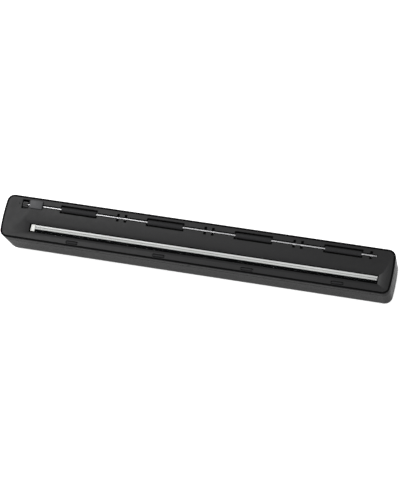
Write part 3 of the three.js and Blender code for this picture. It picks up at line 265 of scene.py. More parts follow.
def combine(obj, others, operation):
    """Boolean of one object with others, with the result baked into its mesh."""
    for other in others:
        modifier = obj.modifiers.new(operation, "BOOLEAN")
        modifier.operation = operation
        modifier.solver = "MANIFOLD"
        modifier.object = other
    bpy.context.view_layer.update()
    result = obj.evaluated_get(bpy.context.evaluated_depsgraph_get())
    mesh = bpy.data.meshes.new_from_object(result)
    mesh.name = obj.name
    obj.modifiers.clear()
    obj.data = mesh
    for other in others:
        bpy.data.objects.remove(other)
    return obj


def cut(obj, *cutters):
    return combine(obj, cutters, "DIFFERENCE")


def join(obj, *others):
    return combine(obj, others, "UNION")


# ------------------------------------------------------------------ outlines


def arc_points(cx, cy, radius, start, end, steps):
    """Points on an arc; angles are in quarter turns."""
    turns = [start + (end - start) * k / steps for k in range(steps + 1)]
    return [
        (cx + radius * math.cos(t * math.pi / 2), cy + radius * math.sin(t * math.pi / 2))
        for t in turns
    ]


def rounded(cx, cy, half_x, half_y, radius, steps=6):
    """Rounded rectangle; a capsule when the radius is half its width."""
    points = []
    for corner, (sx, sy) in enumerate([(1, 1), (-1, 1), (-1, -1), (1, -1)]):
        x = cx + sx * (half_x - radius)
        y = cy + sy * (half_y - radius)
        points += arc_points(x, y, radius, corner, corner + 1, steps)
    return points


def circle(cx, cy, radius, steps=40):
    return [
        (cx + radius * math.cos(2 * math.pi * k / steps), cy + radius * math.sin(2 * math.pi * k / steps))
        for k in range(steps)
    ]


def hull_outline(inset, wall):
    """Level outline of the bar: round corners, and ends that bow out a little."""
    half_x = HALF_LENGTH - inset - wall
    half_y = HALF_WIDTH - inset - wall
    radius = CORNER_RADIUS - wall
    flat = half_y - radius
    points = []
    for corner, (sx, sy) in enumerate([(1, 1), (-1, 1), (-1, -1), (1, -1)]):
        x = sx * (half_x - radius)
        points += arc_points(x, sy * flat, radius, corner, corner + 1, OUTLINE_STEPS)
        if corner in (1, 3):
            points += [(sx * half_x, sx * flat * quarter / 4) for quarter in range(-3, 4)]
    return [(x - math.copysign(END_BULGE, x) * (y / half_y) ** 2, y) for x, y in points]


def hull_inset(z, floor_z=0.0):
    """How far the side wall has moved in at a height."""
    depth = TOP - z
    if depth <= DRAFT_DEPTH:
        return DRAFT_INSET * max(depth, 0) / DRAFT_DEPTH
    share = min(1.0, (depth - DRAFT_DEPTH) / (TOP - floor_z - DRAFT_DEPTH))
    return DRAFT_INSET + BELLY_INSET * (1 - math.sqrt(1 - share * share))


def hull_heights(z0, z1, floor_z=0.0):
    """Heights that step evenly round the belly, from z0 up to z1."""
    reach = TOP - floor_z - DRAFT_DEPTH
    angles = [k / PROFILE_STEPS * math.pi / 2 for k in range(PROFILE_STEPS, -1, -1)]
    between = [TOP - DRAFT_DEPTH - reach * math.sin(angle) for angle in angles]
    return [z0] + [z for z in between if z0 + 0.02 < z < z1 - 0.02] + [z1]


def hull_level(z, wall=0.0, floor_z=0.0, extra=0.0):
    return hull_outline(hull_inset(z, floor_z) + extra, wall), z


def hull_solid(name, z0, z1, wall=0.0, floor_z=0.0):
    return loft(name, [hull_level(z, wall, floor_z) for z in hull_heights(z0, z1, floor_z)])


def opening(name, outline, z_face, z_end, edge=EDGE):
    """Cutter from z_end to a face at z_face, with a small chamfer where it breaks the face.

    outline(grow) gives its outline moved out by grow.
    """
    side = 1 if z_face > z_end else -1
    levels = [
        (outline(0), z_end),
        (outline(0), z_face - side * edge),
        (outline(2 * edge), z_face + side * edge),
    ]
    return loft(name, levels)


def rectangle_opening(x0, x1, y0, y1, z_face, z_end, edge=EDGE, radius=0.15):
    cx, cy = (x0 + x1) / 2, (y0 + y1) / 2

    def outline(grow):
        return rounded(cx, cy, (x1 - x0) / 2 + grow, (y1 - y0) / 2 + grow, radius + grow, 2)

    return opening("cutter", outline, z_face, z_end, edge)


def round_opening(x, y, radius, z_face, z_end, edge=EDGE):
    return opening("cutter", lambda grow: circle(x, y, radius + grow), z_face, z_end, edge)


def capsule_opening(x, y, half_x, radius, z_face, z_end, edge=EDGE):
    def outline(grow):
        return rounded(x, y, half_x + grow, radius + grow, radius + grow, 8)

    return opening("cutter", outline, z_face, z_end, edge)


# ------------------------------------------------------------------ materials


class Surface:
    """A node material around one Principled shader. Constants sit on the shader's own sockets."""

    def __init__(self, name, colour, roughness, **settings):
        self.material = bpy.data.materials.new(name)
        self.material.use_nodes = True
        self.tree = self.material.node_tree
        self.shader = self.tree.nodes["Principled BSDF"]
        self.shader.inputs["Base Color"].default_value = (*colour, 1)
        self.shader.inputs["Roughness"].default_value = roughness
        for socket, value in settings.items():
            self.shader.inputs[socket.replace("_", " ")].default_value = value
        self.colour = colour
        self.roughness = roughness
        self.coordinates = self.tree.nodes.new("ShaderNodeTexCoord").outputs["Object"]

    def node(self, kind, **values):
        made = self.tree.nodes.new(kind)
        for name, value in values.items():
            setattr(made, name, value)
        return made

    def link(self, source, target):
        self.tree.links.new(source, target)

    def noise(self, scale, stretch=(1, 1, 1), detail=4.0, roughness=0.55):
        """Noise in object space. A scale of 1000 gives grains of about a millimetre."""
        mapping = self.node("ShaderNodeMapping")
        mapping.inputs["Scale"].default_value = stretch
        self.link(self.coordinates, mapping.inputs["Vector"])
        texture = self.node("ShaderNodeTexNoise")
        texture.inputs["Scale"].default_value = scale
        texture.inputs["Detail"].default_value = detail
        texture.inputs["Roughness"].default_value = roughness
        self.link(mapping.outputs["Vector"], texture.inputs["Vector"])
        return texture.outputs["Fac"]

    def spread(self, value, low, high):
        """Maps a noise value to a range."""
        remap = self.node("ShaderNodeMapRange")
        remap.inputs["From Min"].default_value = 0.3
        remap.inputs["From Max"].default_value = 0.7
        remap.inputs["To Min"].default_value = low
        remap.inputs["To Max"].default_value = high
        self.link(value, remap.inputs["Value"])
        return remap.outputs["Result"]

    def vary_colour(self, value, dark, light):
        """Mixes two shades of the base colour by a noise value."""
        mix = self.node("ShaderNodeMix", data_type="RGBA")
        mix.inputs["A"].default_value = (*[c * dark for c in self.colour], 1)
        mix.inputs["B"].default_value = (*[min(1.0, c * light) for c in self.colour], 1)
        self.link(self.spread(value, 0, 1), mix.inputs["Factor"])
        self.link(mix.outputs["Result"], self.shader.inputs["Base Color"])
        return self

    def vary_roughness(self, value, amount):
        result = self.spread(value, self.roughness - amount, self.roughness + amount)
        self.link(result, self.shader.inputs["Roughness"])
        return self

    def bump(self, value, depth_mm, strength=1.0):
        bump = self.node("ShaderNodeBump")
        bump.inputs["Distance"].default_value = depth_mm * MM
        bump.inputs["Strength"].default_value = strength
        self.link(value, bump.inputs["Height"])
        self.link(bump.outputs["Normal"], self.shader.inputs["Normal"])
        return self


def moulded(name, colour, roughness, grain=2600, grain_depth=0.006, spread=0.05, **settings):
    """Moulded plastic: fine tool grain, faint flow marks and slightly uneven gloss."""
    surface = Surface(name, colour, roughness, **settings)
    flow = surface.noise(34, stretch=(0.35, 1, 1), detail=3)
    grains = surface.noise(grain)
    surface.vary_colour(flow, 0.9, 1.12)
    surface.vary_roughness(surface.noise(260, detail=5), spread)
    surface.bump(grains, grain_depth)
    return surface.material


def turned_metal(name, colour, roughness, lines=(0.02, 1, 1), scale=5200, depth=0.0015):
    """Ground or drawn metal with fine lines and slight tarnish."""
    surface = Surface(name, colour, roughness, Metallic=1.0)
    grinding = surface.noise(scale, stretch=lines, detail=3)
    surface.vary_colour(surface.noise(90), 0.88, 1.08)
    surface.vary_roughness(grinding, 0.06)
    surface.bump(grinding, depth)
    return surface.material


def rubber(name, colour):
    """Ground silicone rubber: dull, with fine dust in the surface."""
    surface = Surface(name, colour, 0.62, Specular_IOR_Level=0.15)
    dust = surface.noise(1500, detail=6, roughness=0.7)
    surface.vary_colour(dust, 0.8, 1.35)
    surface.vary_roughness(surface.noise(420), 0.07)
    surface.bump(surface.noise(3800, stretch=(1, 0.3, 0.3)), 0.01)
    return surface.material


def clear(name, colour, alpha, roughness=0.03):
    """Thin clear pane with faint dust in its gloss."""
    surface = Surface(name, colour, roughness, Alpha=alpha, IOR=1.2)
    surface.vary_roughness(surface.noise(180, detail=6), 0.015)
    surface.vary_colour(surface.noise(60), 0.9, 1.1)
    return surface.material


def circuit_board(name):
    """Solder mask over copper tracks: blocky lighter runs in dark green."""
    surface = Surface(name, (0.012, 0.085, 0.035), 0.35, Coat_Weight=0.3)
    mapping = surface.node("ShaderNodeMapping")
    mapping.inputs["Scale"].default_value = (1, 1.7, 1)
    surface.link(surface.coordinates, mapping.inputs["Vector"])
    tracks = surface.node("ShaderNodeTexVoronoi", distance="MANHATTAN", feature="DISTANCE_TO_EDGE")
    tracks.inputs["Scale"].default_value = 420
    surface.link(mapping.outputs["Vector"], tracks.inputs["Vector"])
    ramp = surface.node("ShaderNodeValToRGB")
    ramp.color_ramp.elements[0].position = 0.04
    ramp.color_ramp.elements[0].color = (0.05, 0.22, 0.08, 1)
    ramp.color_ramp.elements[1].position = 0.08
    ramp.color_ramp.elements[1].color = (0.012, 0.085, 0.035, 1)
    surface.link(tracks.outputs["Distance"], ramp.inputs["Fac"])
    surface.link(ramp.outputs["Color"], surface.shader.inputs["Base Color"])
    surface.bump(tracks.outputs["Distance"], 0.01, 0.3)
    return surface.material


def liquid_crystal(name):
    """Reflective display: pale grey-green with a faint fine pixel grid."""
    surface = Surface(name, (0.26, 0.3, 0.24), 0.3)
    grid = surface.node("ShaderNodeTexBrick", offset=0.0)
    grid.inputs["Color1"].default_value = (0.25, 0.29, 0.23, 1)
    grid.inputs["Color2"].default_value = (0.27, 0.31, 0.25, 1)
    grid.inputs["Mortar"].default_value = (0.2, 0.235, 0.19, 1)
    grid.inputs["Scale"].default_value = 1000
    grid.inputs["Mortar Size"].default_value = 0.06
    grid.inputs["Brick Width"].default_value = 0.5
    grid.inputs["Row Height"].default_value = 0.5
    surface.link(surface.coordinates, grid.inputs["Vector"])
    surface.link(grid.outputs["Color"], surface.shader.inputs["Base Color"])
    surface.vary_roughness(surface.noise(150), 0.04)
    return surface.material


MATERIALS = {
    "plate": moulded(
        "plate_satin", (0.0105, 0.0105, 0.011), 0.4, grain_depth=0.008, Specular_IOR_Level=0.22,
    ),
    "shell": moulded(
        "shell_gloss", (0.005, 0.005, 0.0053), 0.26, grain=900, grain_depth=0.0008, spread=0.03, IOR=1.055,
    ),
    "cover": moulded("cover_satin", (0.03, 0.0305, 0.034), 0.38, grain_depth=0.005, Specular_IOR_Level=0.3),
    # Sensor housing: partly its own black plastic, partly painted shade, with colour and gloss pushed
    # almost to nothing for the depth of the channel under the window glass.
    "sensor": moulded("sensor_black_and_painted_shade", (0.0015, 0.0015, 0.0016), 0.8, grain_depth=0.01, IOR=1.05),
    "glass": clear("sensor_glass", (0.02, 0.021, 0.022), 0.05),
    "guide": moulded("light_guide", (0.74, 0.75, 0.74), 0.18, grain_depth=0.002, Coat_Weight=0.4),
    "lens": moulded("lens_row", (0.58, 0.59, 0.58), 0.3, grain_depth=0.002),
    "led": moulded("led_white", (0.85, 0.85, 0.82), 0.45),
    "rubber": rubber("roller_rubber", (0.016, 0.016, 0.017)),
    "idler": rubber("idler_rubber", (0.016, 0.016, 0.017)),
    "steel": turned_metal("ground_steel", (0.56, 0.56, 0.57), 0.25, lines=(1, 0.05, 0.05)),
    # Steel of the idler pins: its near-black colour is painted shade for the pin ends seen down the dark
    # slot ends, not a blackened finish.
    "shaded_pin_steel": turned_metal("pin_steel_painted_shade", (0.05, 0.05, 0.052), 0.4),
    "spring": turned_metal("spring_steel", (0.5, 0.5, 0.48), 0.32),
    "nylon": moulded("gear_nylon", (0.03, 0.03, 0.03), 0.5),
    "bronze": turned_metal("bush_bronze", (0.5, 0.31, 0.13), 0.38),
    "board": circuit_board("solder_mask"),
    "chip": moulded("moulded_epoxy", (0.015, 0.015, 0.016), 0.6),
    "ribbon": moulded("polyimide_film", (0.42, 0.24, 0.07), 0.3, Coat_Weight=0.3),
    "display": liquid_crystal("liquid_crystal"),
    "window": clear("display_window", (0.05, 0.055, 0.06), 0.32),
    "button": moulded("button_silver", (0.3, 0.305, 0.315), 0.3, grain_depth=0.004, Metallic=0.35),
    "pipe": moulded("light_pipe", (0.62, 0.72, 0.62), 0.25, Transmission_Weight=0.25),
    "nickel": turned_metal("nickel_plate", (0.62, 0.61, 0.58), 0.24),
    "sleeve": moulded("cell_sleeve", (0.02, 0.06, 0.16), 0.25, Coat_Weight=0.5),
}


def finish(piece, material, body, *nodes, angle=32):
    """Gives a piece its material and its body, and hides the CAD nodes it stands for."""
    smooth(piece, angle)
    piece.data.materials.clear()
    piece.data.materials.append(MATERIALS[material])
    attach(piece, body)
    if nodes:
        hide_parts(*nodes)
    return piece


# ------------------------------------------------------------------ frame, back shell and door


def port_cutters():
    """Openings in the left end for the USB plug and the memory card."""
    usb_low, usb_high = box_mm("usb_socket")
    card_low, card_high = box_mm("memory_card_socket")
    left = -HALF_LENGTH - CUT
    usb_end = (usb_low.x + usb_high.x) / 2
    usb = block(
        "cutter",
        (left, usb_low.y - GAP, usb_low.z - GAP),
        (usb_end, usb_high.y + GAP, usb_high.z + GAP),
    )
    card = block(
        "cutter",
        (left, card_low.y + CARD_SIDE, card_low.z + GAP),
        (card_low.x + GAP, card_high.y - CARD_SIDE, card_low.z + CARD_SLOT_TOP),
    )
    room = block(
        "cutter",
        (card_low.x - GAP, card_low.y - GAP, card_low.z - GAP),
        (card_high.x, card_high.y + GAP, card_high.z),
    )
    return [usb, card, room]


def trough_box(grow):
    """Trough under the plate that holds the shaft and the rollers."""
    roller_low, roller_high = box_mm("drive_roller_1")
    shaft_high = box_mm("roller_shaft")[1]
    low = (
        LUG_RIGHT + LUG_THICKNESS / 2 - grow,
        roller_low.y - ROLLER_SIDE_GAP - WELL_WALL - grow,
        roller_low.z - ROLLER_FLOOR_GAP - WELL_FLOOR - grow,
    )
    high = (
        shaft_high.x + TROUGH_PAST_SHAFT + grow,
        roller_high.y + ROLLER_SIDE_GAP + WELL_WALL + grow,
        PLATE_BOTTOM + FINE_GAP,
    )
    return block("trough", low, high)


def cup_box(index, grow):
    """Cup under the plate that holds one idler roller."""
    pin_low, pin_high = box_mm(f"idler_pin_{index}")
    roller_low = box_mm(f"idler_roller_{index}")[0]
    y = (pin_low.y + pin_high.y) / 2
    end_wall = GAP + IDLER_CUP_WALL + grow
    half_width = IDLER_SLOT_RADIUS + IDLER_CUP_WALL
    low = (pin_low.x - end_wall, y - half_width - grow, roller_low.z - end_wall)
    high = (pin_high.x + end_wall, y + half_width - grow, PLATE_BOTTOM + FINE_GAP)
    return block("cup", low, high)


def side_frame():
    """Rim of the bar, with a rounded lip, a ledge for the plate and a tongue into the shell."""
    levels = []
    fillet = 6
    for k in range(fillet + 1):
        angle = k / fillet * math.pi / 2
        inset = LIP_FILLET * (1 - math.sin(angle))
        z = TOP - LIP_FILLET * (1 - math.cos(angle))
        levels.append((hull_outline(hull_inset(z) + inset, 0), z))
    for z in reversed(hull_heights(PARTING_Z + EDGE, TOP - LIP_FILLET)[:-1]):
        levels.append(hull_level(z))
    levels.append(hull_level(PARTING_Z, extra=EDGE))
    tongue_z = PARTING_Z - TONGUE_HEIGHT
    outer_wall = SHELL_WALL - TONGUE_WALL
    levels.append(hull_level(PARTING_Z, outer_wall, BACK_THICKNESS))
    levels.append(hull_level(tongue_z, outer_wall, BACK_THICKNESS))
    for z in hull_heights(tongue_z, SEAT_Z, BACK_THICKNESS):
        levels.append(hull_level(z, FRAME_WALL, BACK_THICKNESS))
    levels.append((hull_outline(0, LIP_WIDTH), SEAT_Z))
    levels.append((hull_outline(0, LIP_WIDTH), TOP - EDGE))
    levels.append((hull_outline(0, LIP_WIDTH - EDGE), TOP))
    rim = loft("side_frame_rim", levels, ring=True)
    cups = [cup_box(k, GAP) for k in range(1, 5)]
    return cut(rim, *port_cutters(), trough_box(GAP), *cups, *front_windows())


def front_windows():
    """Small snap windows under the lip along the front, and one notch near the right end."""
    places = [(x, LATCH_HALF_LENGTH, LATCH_TOP) for x in LATCH_PLACES]
    places.append((HALF_LENGTH - MARK_MARGIN, MARK_HALF_LENGTH, MARK_TOP))
    return [
        block(
            "cutter",
            (x - half, -HALF_WIDTH - CUT, TOP - depth - FRONT_WINDOW_HEIGHT),
            (x + half, -HALF_WIDTH + FRONT_WINDOW_DEPTH, TOP - depth),
        )
        for x, half, depth in places
    ]


def cup_levels(top_z, wall, floor_z):
    """Levels of an open shell: up the outside, over the rim and down the inside."""
    levels = [hull_level(z) for z in hull_heights(0.0, top_z - EDGE)]
    levels.append(hull_level(top_z, extra=EDGE))
    inner = [hull_level(z, wall, floor_z) for z in hull_heights(floor_z, top_z, floor_z)]
    return levels + inner[::-1]


def boss(x, y, radius, top_z):
    """Pillar that stands on the back wall."""
    return loft("boss", [(circle(x, y, radius), BACK_THICKNESS - BOSS_SINK), (circle(x, y, radius), top_z)])


def control_cutters():
    """Chamfered holes in the back for the display, the buttons and the status light."""
    low, high = box_mm("display_window")
    inside = BACK_THICKNESS + CUT
    recess = (low.x - FINE_GAP, high.x + FINE_GAP, low.y - FINE_GAP, high.y + FINE_GAP)
    view = (
        low.x + DISPLAY_BORDER, high.x - DISPLAY_BORDER,
        low.y + DISPLAY_BORDER, high.y - DISPLAY_BORDER,
    )
    cutters = [
        rectangle_opening(*recess, 0, high.z + FINE_GAP, radius=1.5),
        rectangle_opening(*view, high.z, inside, radius=0.6),
    ]
    for x, y, half, radius in BUTTON_PLACES.values():
        cutters.append(capsule_opening(x, y, half + BUTTON_GAP, radius + BUTTON_GAP, 0, inside, edge=0.2))
    cutters.append(round_opening(*LIGHT_PLACE, LIGHT_RADIUS + BUTTON_GAP, 0, inside))
    return cutters


def middle(node):
    """Centre of a node in X and Y."""
    low, high = box_mm(node)
    return (low.x + high.x) / 2, (low.y + high.y) / 2


def button_place(node):
    """Centre, half length and radius of a button's cap, from its flange."""
    low, high = box_mm(node)
    half_x = (high.x - low.x) / 2 - BUTTON_FLANGE
    half_y = (high.y - low.y) / 2 - BUTTON_FLANGE
    return *middle(node), half_x, half_y


BUTTON_NODES = ["scan_button", "power_button", "format_button", "colour_button"]
BUTTON_PLACES = {name: button_place(name) for name in BUTTON_NODES}
LIGHT_PLACE = middle("status_light_pipe")
SCREW_PLACES = [middle(f"housing_screw_{k}") for k in (1, 2, 3)]


def bay_walls():
    """Walls at the two ends of the battery bay."""
    low, high = box_mm("battery_contact_negative")
    right = box_mm("battery_contact_positive")[1].x + FINE_GAP
    return [
        block(
            "bay_wall",
            (x, low.y + 0.6, BACK_THICKNESS - BOSS_SINK),
            (x + BAY_WALL, high.y, high.z + 0.2),
        )
        for x in (low.x - FINE_GAP - BAY_WALL, right)
    ]


def back_shell():
    """Rounded lower body with its bosses, battery bay walls and every opening in its back."""
    shell = loft("back_shell_body", cup_levels(SHELL_TOP, SHELL_WALL, BACK_THICKNESS))
    rebate_low = PARTING_Z - TONGUE_HEIGHT - GAP
    rebate_wall = SHELL_WALL - TONGUE_WALL - GAP
    rebate = hull_solid("cutter", rebate_low, SHELL_TOP + CUT, rebate_wall, BACK_THICKNESS)
    spring_low = box_mm("sensor_spring_right")[0]
    bosses = [boss(x, y, BOSS_RADIUS, BOSS_TOP) for x, y in SCREW_PLACES]
    bosses.append(boss(*middle("sensor_spring_right"), SPRING_SEAT_RADIUS, spring_low.z - SPRING_SEAT_GAP))
    join(shell, *bosses, *bay_walls())
    door_low, door_high = box_mm("battery_door")
    door = (door_low.x - DOOR_GAP, door_high.x + DOOR_GAP, door_low.y - DOOR_GAP, door_high.y + DOOR_GAP)
    cutters = [rebate, *port_cutters(), *control_cutters()]
    cutters.append(rectangle_opening(*door, 0, DOOR_OPENING_TOP, radius=DOOR_CORNER))
    for x, y in SCREW_PLACES:
        cutters.append(round_opening(x, y, SCREW_HEAD_RADIUS + FINE_GAP, 0, SCREW_HEAD_ROOM))
        hole = circle(x, y, SCREW_BORE, 20)
        cutters.append(loft("cutter", [(hole, 1.0), (hole, BOSS_TOP + CUT)]))
    return cut(shell, *cutters)


def battery_door():
    """Flat door in the back, with thumb grooves near its right end."""
    low, high = box_mm("battery_door")
    x, y = middle("battery_door")
    half_x, half_y = (high.x - low.x) / 2, (high.y - low.y) / 2
    skin = loft("battery_door_panel", cup_levels(DOOR_OPENING_TOP, DOOR_THICKNESS, DOOR_THICKNESS))
    full = rounded(x, y, half_x, half_y, DOOR_CORNER, 3)
    bevelled = rounded(x, y, half_x - EDGE, half_y - EDGE, DOOR_CORNER, 3)
    prism = loft("prism", [(bevelled, -0.01), (full, EDGE), (full, 6.5)])
    panel = combine(skin, [prism], "INTERSECT")
    turn = Matrix.Rotation(math.pi / 2, 4, "Z")
    grips = []
    for k in range(GRIP_COUNT):
        grip = capsule_opening(0, 0, GRIP_HALF_LENGTH, GRIP_PITCH / 4, 0, GRIP_DEPTH, edge=0.1)
        place = Matrix.Translation(((high.x - GRIP_MARGIN - GRIP_PITCH * k) * MM, y * MM, 0))
        grip.data.transform(place @ turn)
        grips.append(grip)
    return cut(panel, *grips)


# ------------------------------------------------------------------ scan plate


def roller_line():
    """Y and Z of the shaft line."""
    low, high = box_mm("drive_roller_1")
    return (low.y + high.y) / 2, (low.z + high.z) / 2


def window_cutter():
    """Sensor window with its sloped border."""
    low, high = box_mm("sensor_glass")
    x0, x1 = low.x - GAP, high.x + GAP
    y0, y1 = low.y - GAP, high.y + GAP
    rise = (BEVEL_DEPTH + EDGE) / BEVEL_DEPTH

    def outline(left, right, front, rear, radius):
        cx, cy = (x0 - left + x1 + right) / 2, (y0 - front + y1 + rear) / 2
        half_x, half_y = (x1 + right - x0 + left) / 2, (y1 + rear - y0 + front) / 2
        return rounded(cx, cy, half_x, half_y, radius, 3)

    straight = outline(0, 0, 0, 0, 0.2)
    sloped = outline(*[reach * rise for reach in BEVEL_REACHES], 0.5)
    levels = [(straight, PLATE_BOTTOM - CUT), (straight, TOP - BEVEL_DEPTH), (sloped, TOP + EDGE)]
    return loft("cutter", levels)


def slot_opening(x0, x1, y, half_width, floor_z, edge):
    """Straight-sided opening down from the scan face, about the shaft line."""
    return rectangle_opening(x0, x1, y - half_width, y + half_width, TOP, floor_z, edge=edge)


def shaft_cutters():
    """Slot for the shaft, narrow at the snap bearings, with the notches that let them flex."""
    y, z = roller_line()
    shaft_low, shaft_high = box_mm("roller_shaft")
    bush_low, bush_high = box_mm("shaft_bush")
    bush_x = middle("shaft_bush")[0]
    gear_x = middle("shaft_gear")[0]
    rollers = [box_mm(f"drive_roller_{k}") for k in range(1, 5)]
    centres = [(low.x + high.x) / 2 for low, high in rollers]
    bearings = [(a + b) / 2 for a, b in zip(centres, centres[1:])]
    floor = shaft_low.z - GAP
    end_notch = shaft_high.x - END_NOTCH_OFFSET
    saddle = NOTCH_SPREAD - NOTCH_WIDTH / 2
    edges = [bush_x] + [x + side * saddle for x in bearings for side in (-1, 1)] + [end_notch]
    cutters = [slot_opening(gear_x, shaft_high.x + GAP, y, SADDLE_HALF_WIDTH, floor, 0.08)]
    for x0, x1 in zip(edges[::2], edges[1::2]):
        cutters.append(slot_opening(x0, x1, y, SLOT_HALF_WIDTH, floor - 0.01, 0.1))
    notches = [x + side * NOTCH_SPREAD for x in bearings for side in (-1, 1)] + [end_notch]
    for x in notches:
        ends = (x - NOTCH_WIDTH / 2, x + NOTCH_WIDTH / 2)
        cutters.append(slot_opening(*ends, y, NOTCH_HALF_LENGTH, z - NOTCH_DROP, 0.08))
    for low, high in rollers:
        along = (low.x - ROLLER_END_GAP, high.x + ROLLER_END_GAP)
        across = (low.y - ROLLER_SIDE_GAP, high.y + ROLLER_SIDE_GAP)
        floor_z = low.z - ROLLER_FLOOR_GAP
        cutters.append(rectangle_opening(*along, *across, TOP, floor_z, edge=0.15, radius=0.25))
    bush_room = (bush_low.x - GAP, bush_high.x + GAP, bush_low.y - GAP, bush_high.y + GAP)
    cutters.append(rectangle_opening(*bush_room, TOP + 0.5, bush_low.z - GAP))
    pocket = (gear_x - POCKET_HALF_LENGTH, gear_x + POCKET_HALF_LENGTH)
    cutters.append(slot_opening(*pocket, y, POCKET_HALF_WIDTH, PLATE_BOTTOM - CUT, 0.15))
    return cutters


def idler_cutters(index):
    """Round-ended slot for an idler roller, and the hidden room for its pin."""
    pin = f"idler_pin_{index}"
    pin_low, pin_high = box_mm(pin)
    x, y = middle(pin)
    floor = box_mm(f"idler_roller_{index}")[0].z - GAP
    slot = capsule_opening(x, y, IDLER_SLOT_HALF_LENGTH, IDLER_SLOT_RADIUS, TOP, floor, edge=0.12)
    room_low = (pin_low.x - FINE_GAP, y - PIN_ROOM_HALF, floor + 0.02)
    room_high = (pin_high.x + FINE_GAP, y + PIN_ROOM_HALF, pin_high.z + FINE_GAP)
    return [slot, block("cutter", room_low, room_high)]


def encoder_lugs():
    """Two lugs under the plate that hold the encoder's axle."""
    axle_low, axle_high = box_mm("encoder_axle")
    y = (axle_low.y + axle_high.y) / 2
    return [
        block(
            "lug",
            (x, y - LUG_HALF_WIDTH, axle_low.z - LUG_DROP),
            (x + LUG_THICKNESS, y + LUG_HALF_WIDTH, PLATE_BOTTOM + FINE_GAP),
        )
        for x in (axle_low.x - FINE_GAP, LUG_RIGHT)
    ]


def axle_bore():
    low, high = box_mm("encoder_axle")
    y, z = (low.y + high.y) / 2, (low.z + high.z) / 2
    left, right = low.x - CUT, high.x + CUT
    return lathe("bore", [(left, 0), (left, AXLE_BORE), (right, AXLE_BORE), (right, 0)], y, z, 20)


def pip():
    """Small moulded pip in line with the shaft, near the left end."""
    x, y = PIP_MARGIN - HALF_LENGTH, roller_line()[0]
    return loft("pip", [
        (circle(x, y, PIP_RADIUS, 24), TOP - 0.3),
        (circle(x, y, PIP_RADIUS, 24), TOP + PIP_RISE / 2),
        (circle(x, y, PIP_RADIUS - 0.2, 24), TOP + PIP_RISE),
    ])


def scan_plate():
    """Satin plate with its wells, slots and bevelled window, and the trough and posts below."""
    wall = LIP_WIDTH + PLATE_GAP
    levels = [
        (hull_outline(0, wall), PLATE_BOTTOM),
        (hull_outline(0, wall), TOP - EDGE),
        (hull_outline(0, wall + EDGE), TOP),
    ]
    plate = loft("scan_plate_face", levels)
    posts, bores = [], []
    for x, y in SCREW_PLACES:
        post = circle(x, y, POST_RADIUS)
        posts.append(loft("post", [(post, POST_LOW), (post, PLATE_BOTTOM + FINE_GAP)]))
        bore = circle(x, y, SCREW_BORE, 20)
        bores.append(loft("bore", [(bore, POST_LOW - CUT), (bore, POST_BORE_TOP)]))
    cups = [cup_box(k, 0) for k in range(1, 5)]
    join(plate, pip(), trough_box(0), *cups, *encoder_lugs(), *posts)
    idlers = [cutter for k in range(1, 5) for cutter in idler_cutters(k)]
    return cut(plate, window_cutter(), *shaft_cutters(), *idlers, *bores, axle_bore())


def gear_cover():
    """Snap-on cover with rounded edges and two legs."""
    low, high = box_mm("gear_cover")
    x, y = middle("gear_cover")
    half_x, half_y = (high.x - low.x) / 2, (high.y - low.y) / 2
    base = TOP + FINE_GAP
    fillet = 0.3
    levels = [(rounded(x, y, half_x, half_y, 0.5, 5), base)]
    for k in range(5):
        angle = k / 4 * math.pi / 2
        shrink = fillet * (1 - math.cos(angle))
        outline = rounded(x, y, half_x - shrink, half_y - shrink, 0.5, 5)
        levels.append((outline, high.z - fillet + fillet * math.sin(angle)))
    lid = loft("gear_cover_lid", levels)
    legs = []
    for side in (-1, 1):
        leg_y = y + side * (half_y - COVER_LEG_INSET)
        leg_low = (x - COVER_LEG_HALF_LENGTH, leg_y - COVER_LEG_HALF_WIDTH, low.z)
        leg_high = (x + COVER_LEG_HALF_LENGTH, leg_y + COVER_LEG_HALF_WIDTH, base + FINE_GAP)
        legs.append(block("leg", leg_low, leg_high))
    return join(lid, *legs)


# ------------------------------------------------------------------ rollers and shaft


def tube_profile(x0, x1, radius, bore, fillet, steps=5):
    """Closed (x, radius) profile of a tube with rounded outer edges."""
    angles = [k / steps * math.pi / 2 for k in range(steps + 1)]
    rounding = [(fillet * (1 - math.sin(a)), radius - fillet * (1 - math.cos(a))) for a in angles]
    left = [(x0 + inset, level) for inset, level in reversed(rounding)]
    right = [(x1 - inset, level) for inset, level in rounding]
    return [(x1, bore), (x0, bore)] + left + right


def roller(name, node, bore, fillet, segments):
    """Tyre with rounded ends."""
    low, high = box_mm(node)
    y, z = (low.y + high.y) / 2, (low.z + high.z) / 2
    profile = tube_profile(low.x, high.x, (high.z - low.z) / 2, bore, fillet)
    return lathe(name, profile, y, z, segments)


def roller_shaft():
    """Ground steel shaft with chamfered ends and a clip groove near its right end."""
    low, high = box_mm("roller_shaft")
    y, z = (low.y + high.y) / 2, (low.z + high.z) / 2
    radius = (high.z - low.z) / 2
    groove = high.x - 1.2
    profile = [
        (low.x, 0), (low.x, radius - 0.2), (low.x + 0.2, radius),
        (groove - 0.25, radius), (groove - 0.25, radius - 0.18),
        (groove + 0.25, radius - 0.18), (groove + 0.25, radius),
        (high.x - 0.2, radius), (high.x, radius - 0.2), (high.x, 0),
    ]
    return lathe("roller_shaft_ground", profile, y, z, 40)


def rod_with_ends(name, node, chamfer, segments=24):
    """Plain rod with chamfered ends."""
    low, high = box_mm(node)
    y, z = (low.y + high.y) / 2, (low.z + high.z) / 2
    radius = (high.z - low.z) / 2
    profile = [
        (low.x, 0), (low.x, radius - chamfer), (low.x + chamfer, radius),
        (high.x - chamfer, radius), (high.x, radius - chamfer), (high.x, 0),
    ]
    return lathe(name, profile, y, z, segments)


# ------------------------------------------------------------------ sensor pieces


def soft_block(name, node, edge, radius=None):
    """Block with softened top and bottom edges and round corners, in a node's box."""
    low, high = box_mm(node)
    return soft_box(name, low, high, edge, radius)


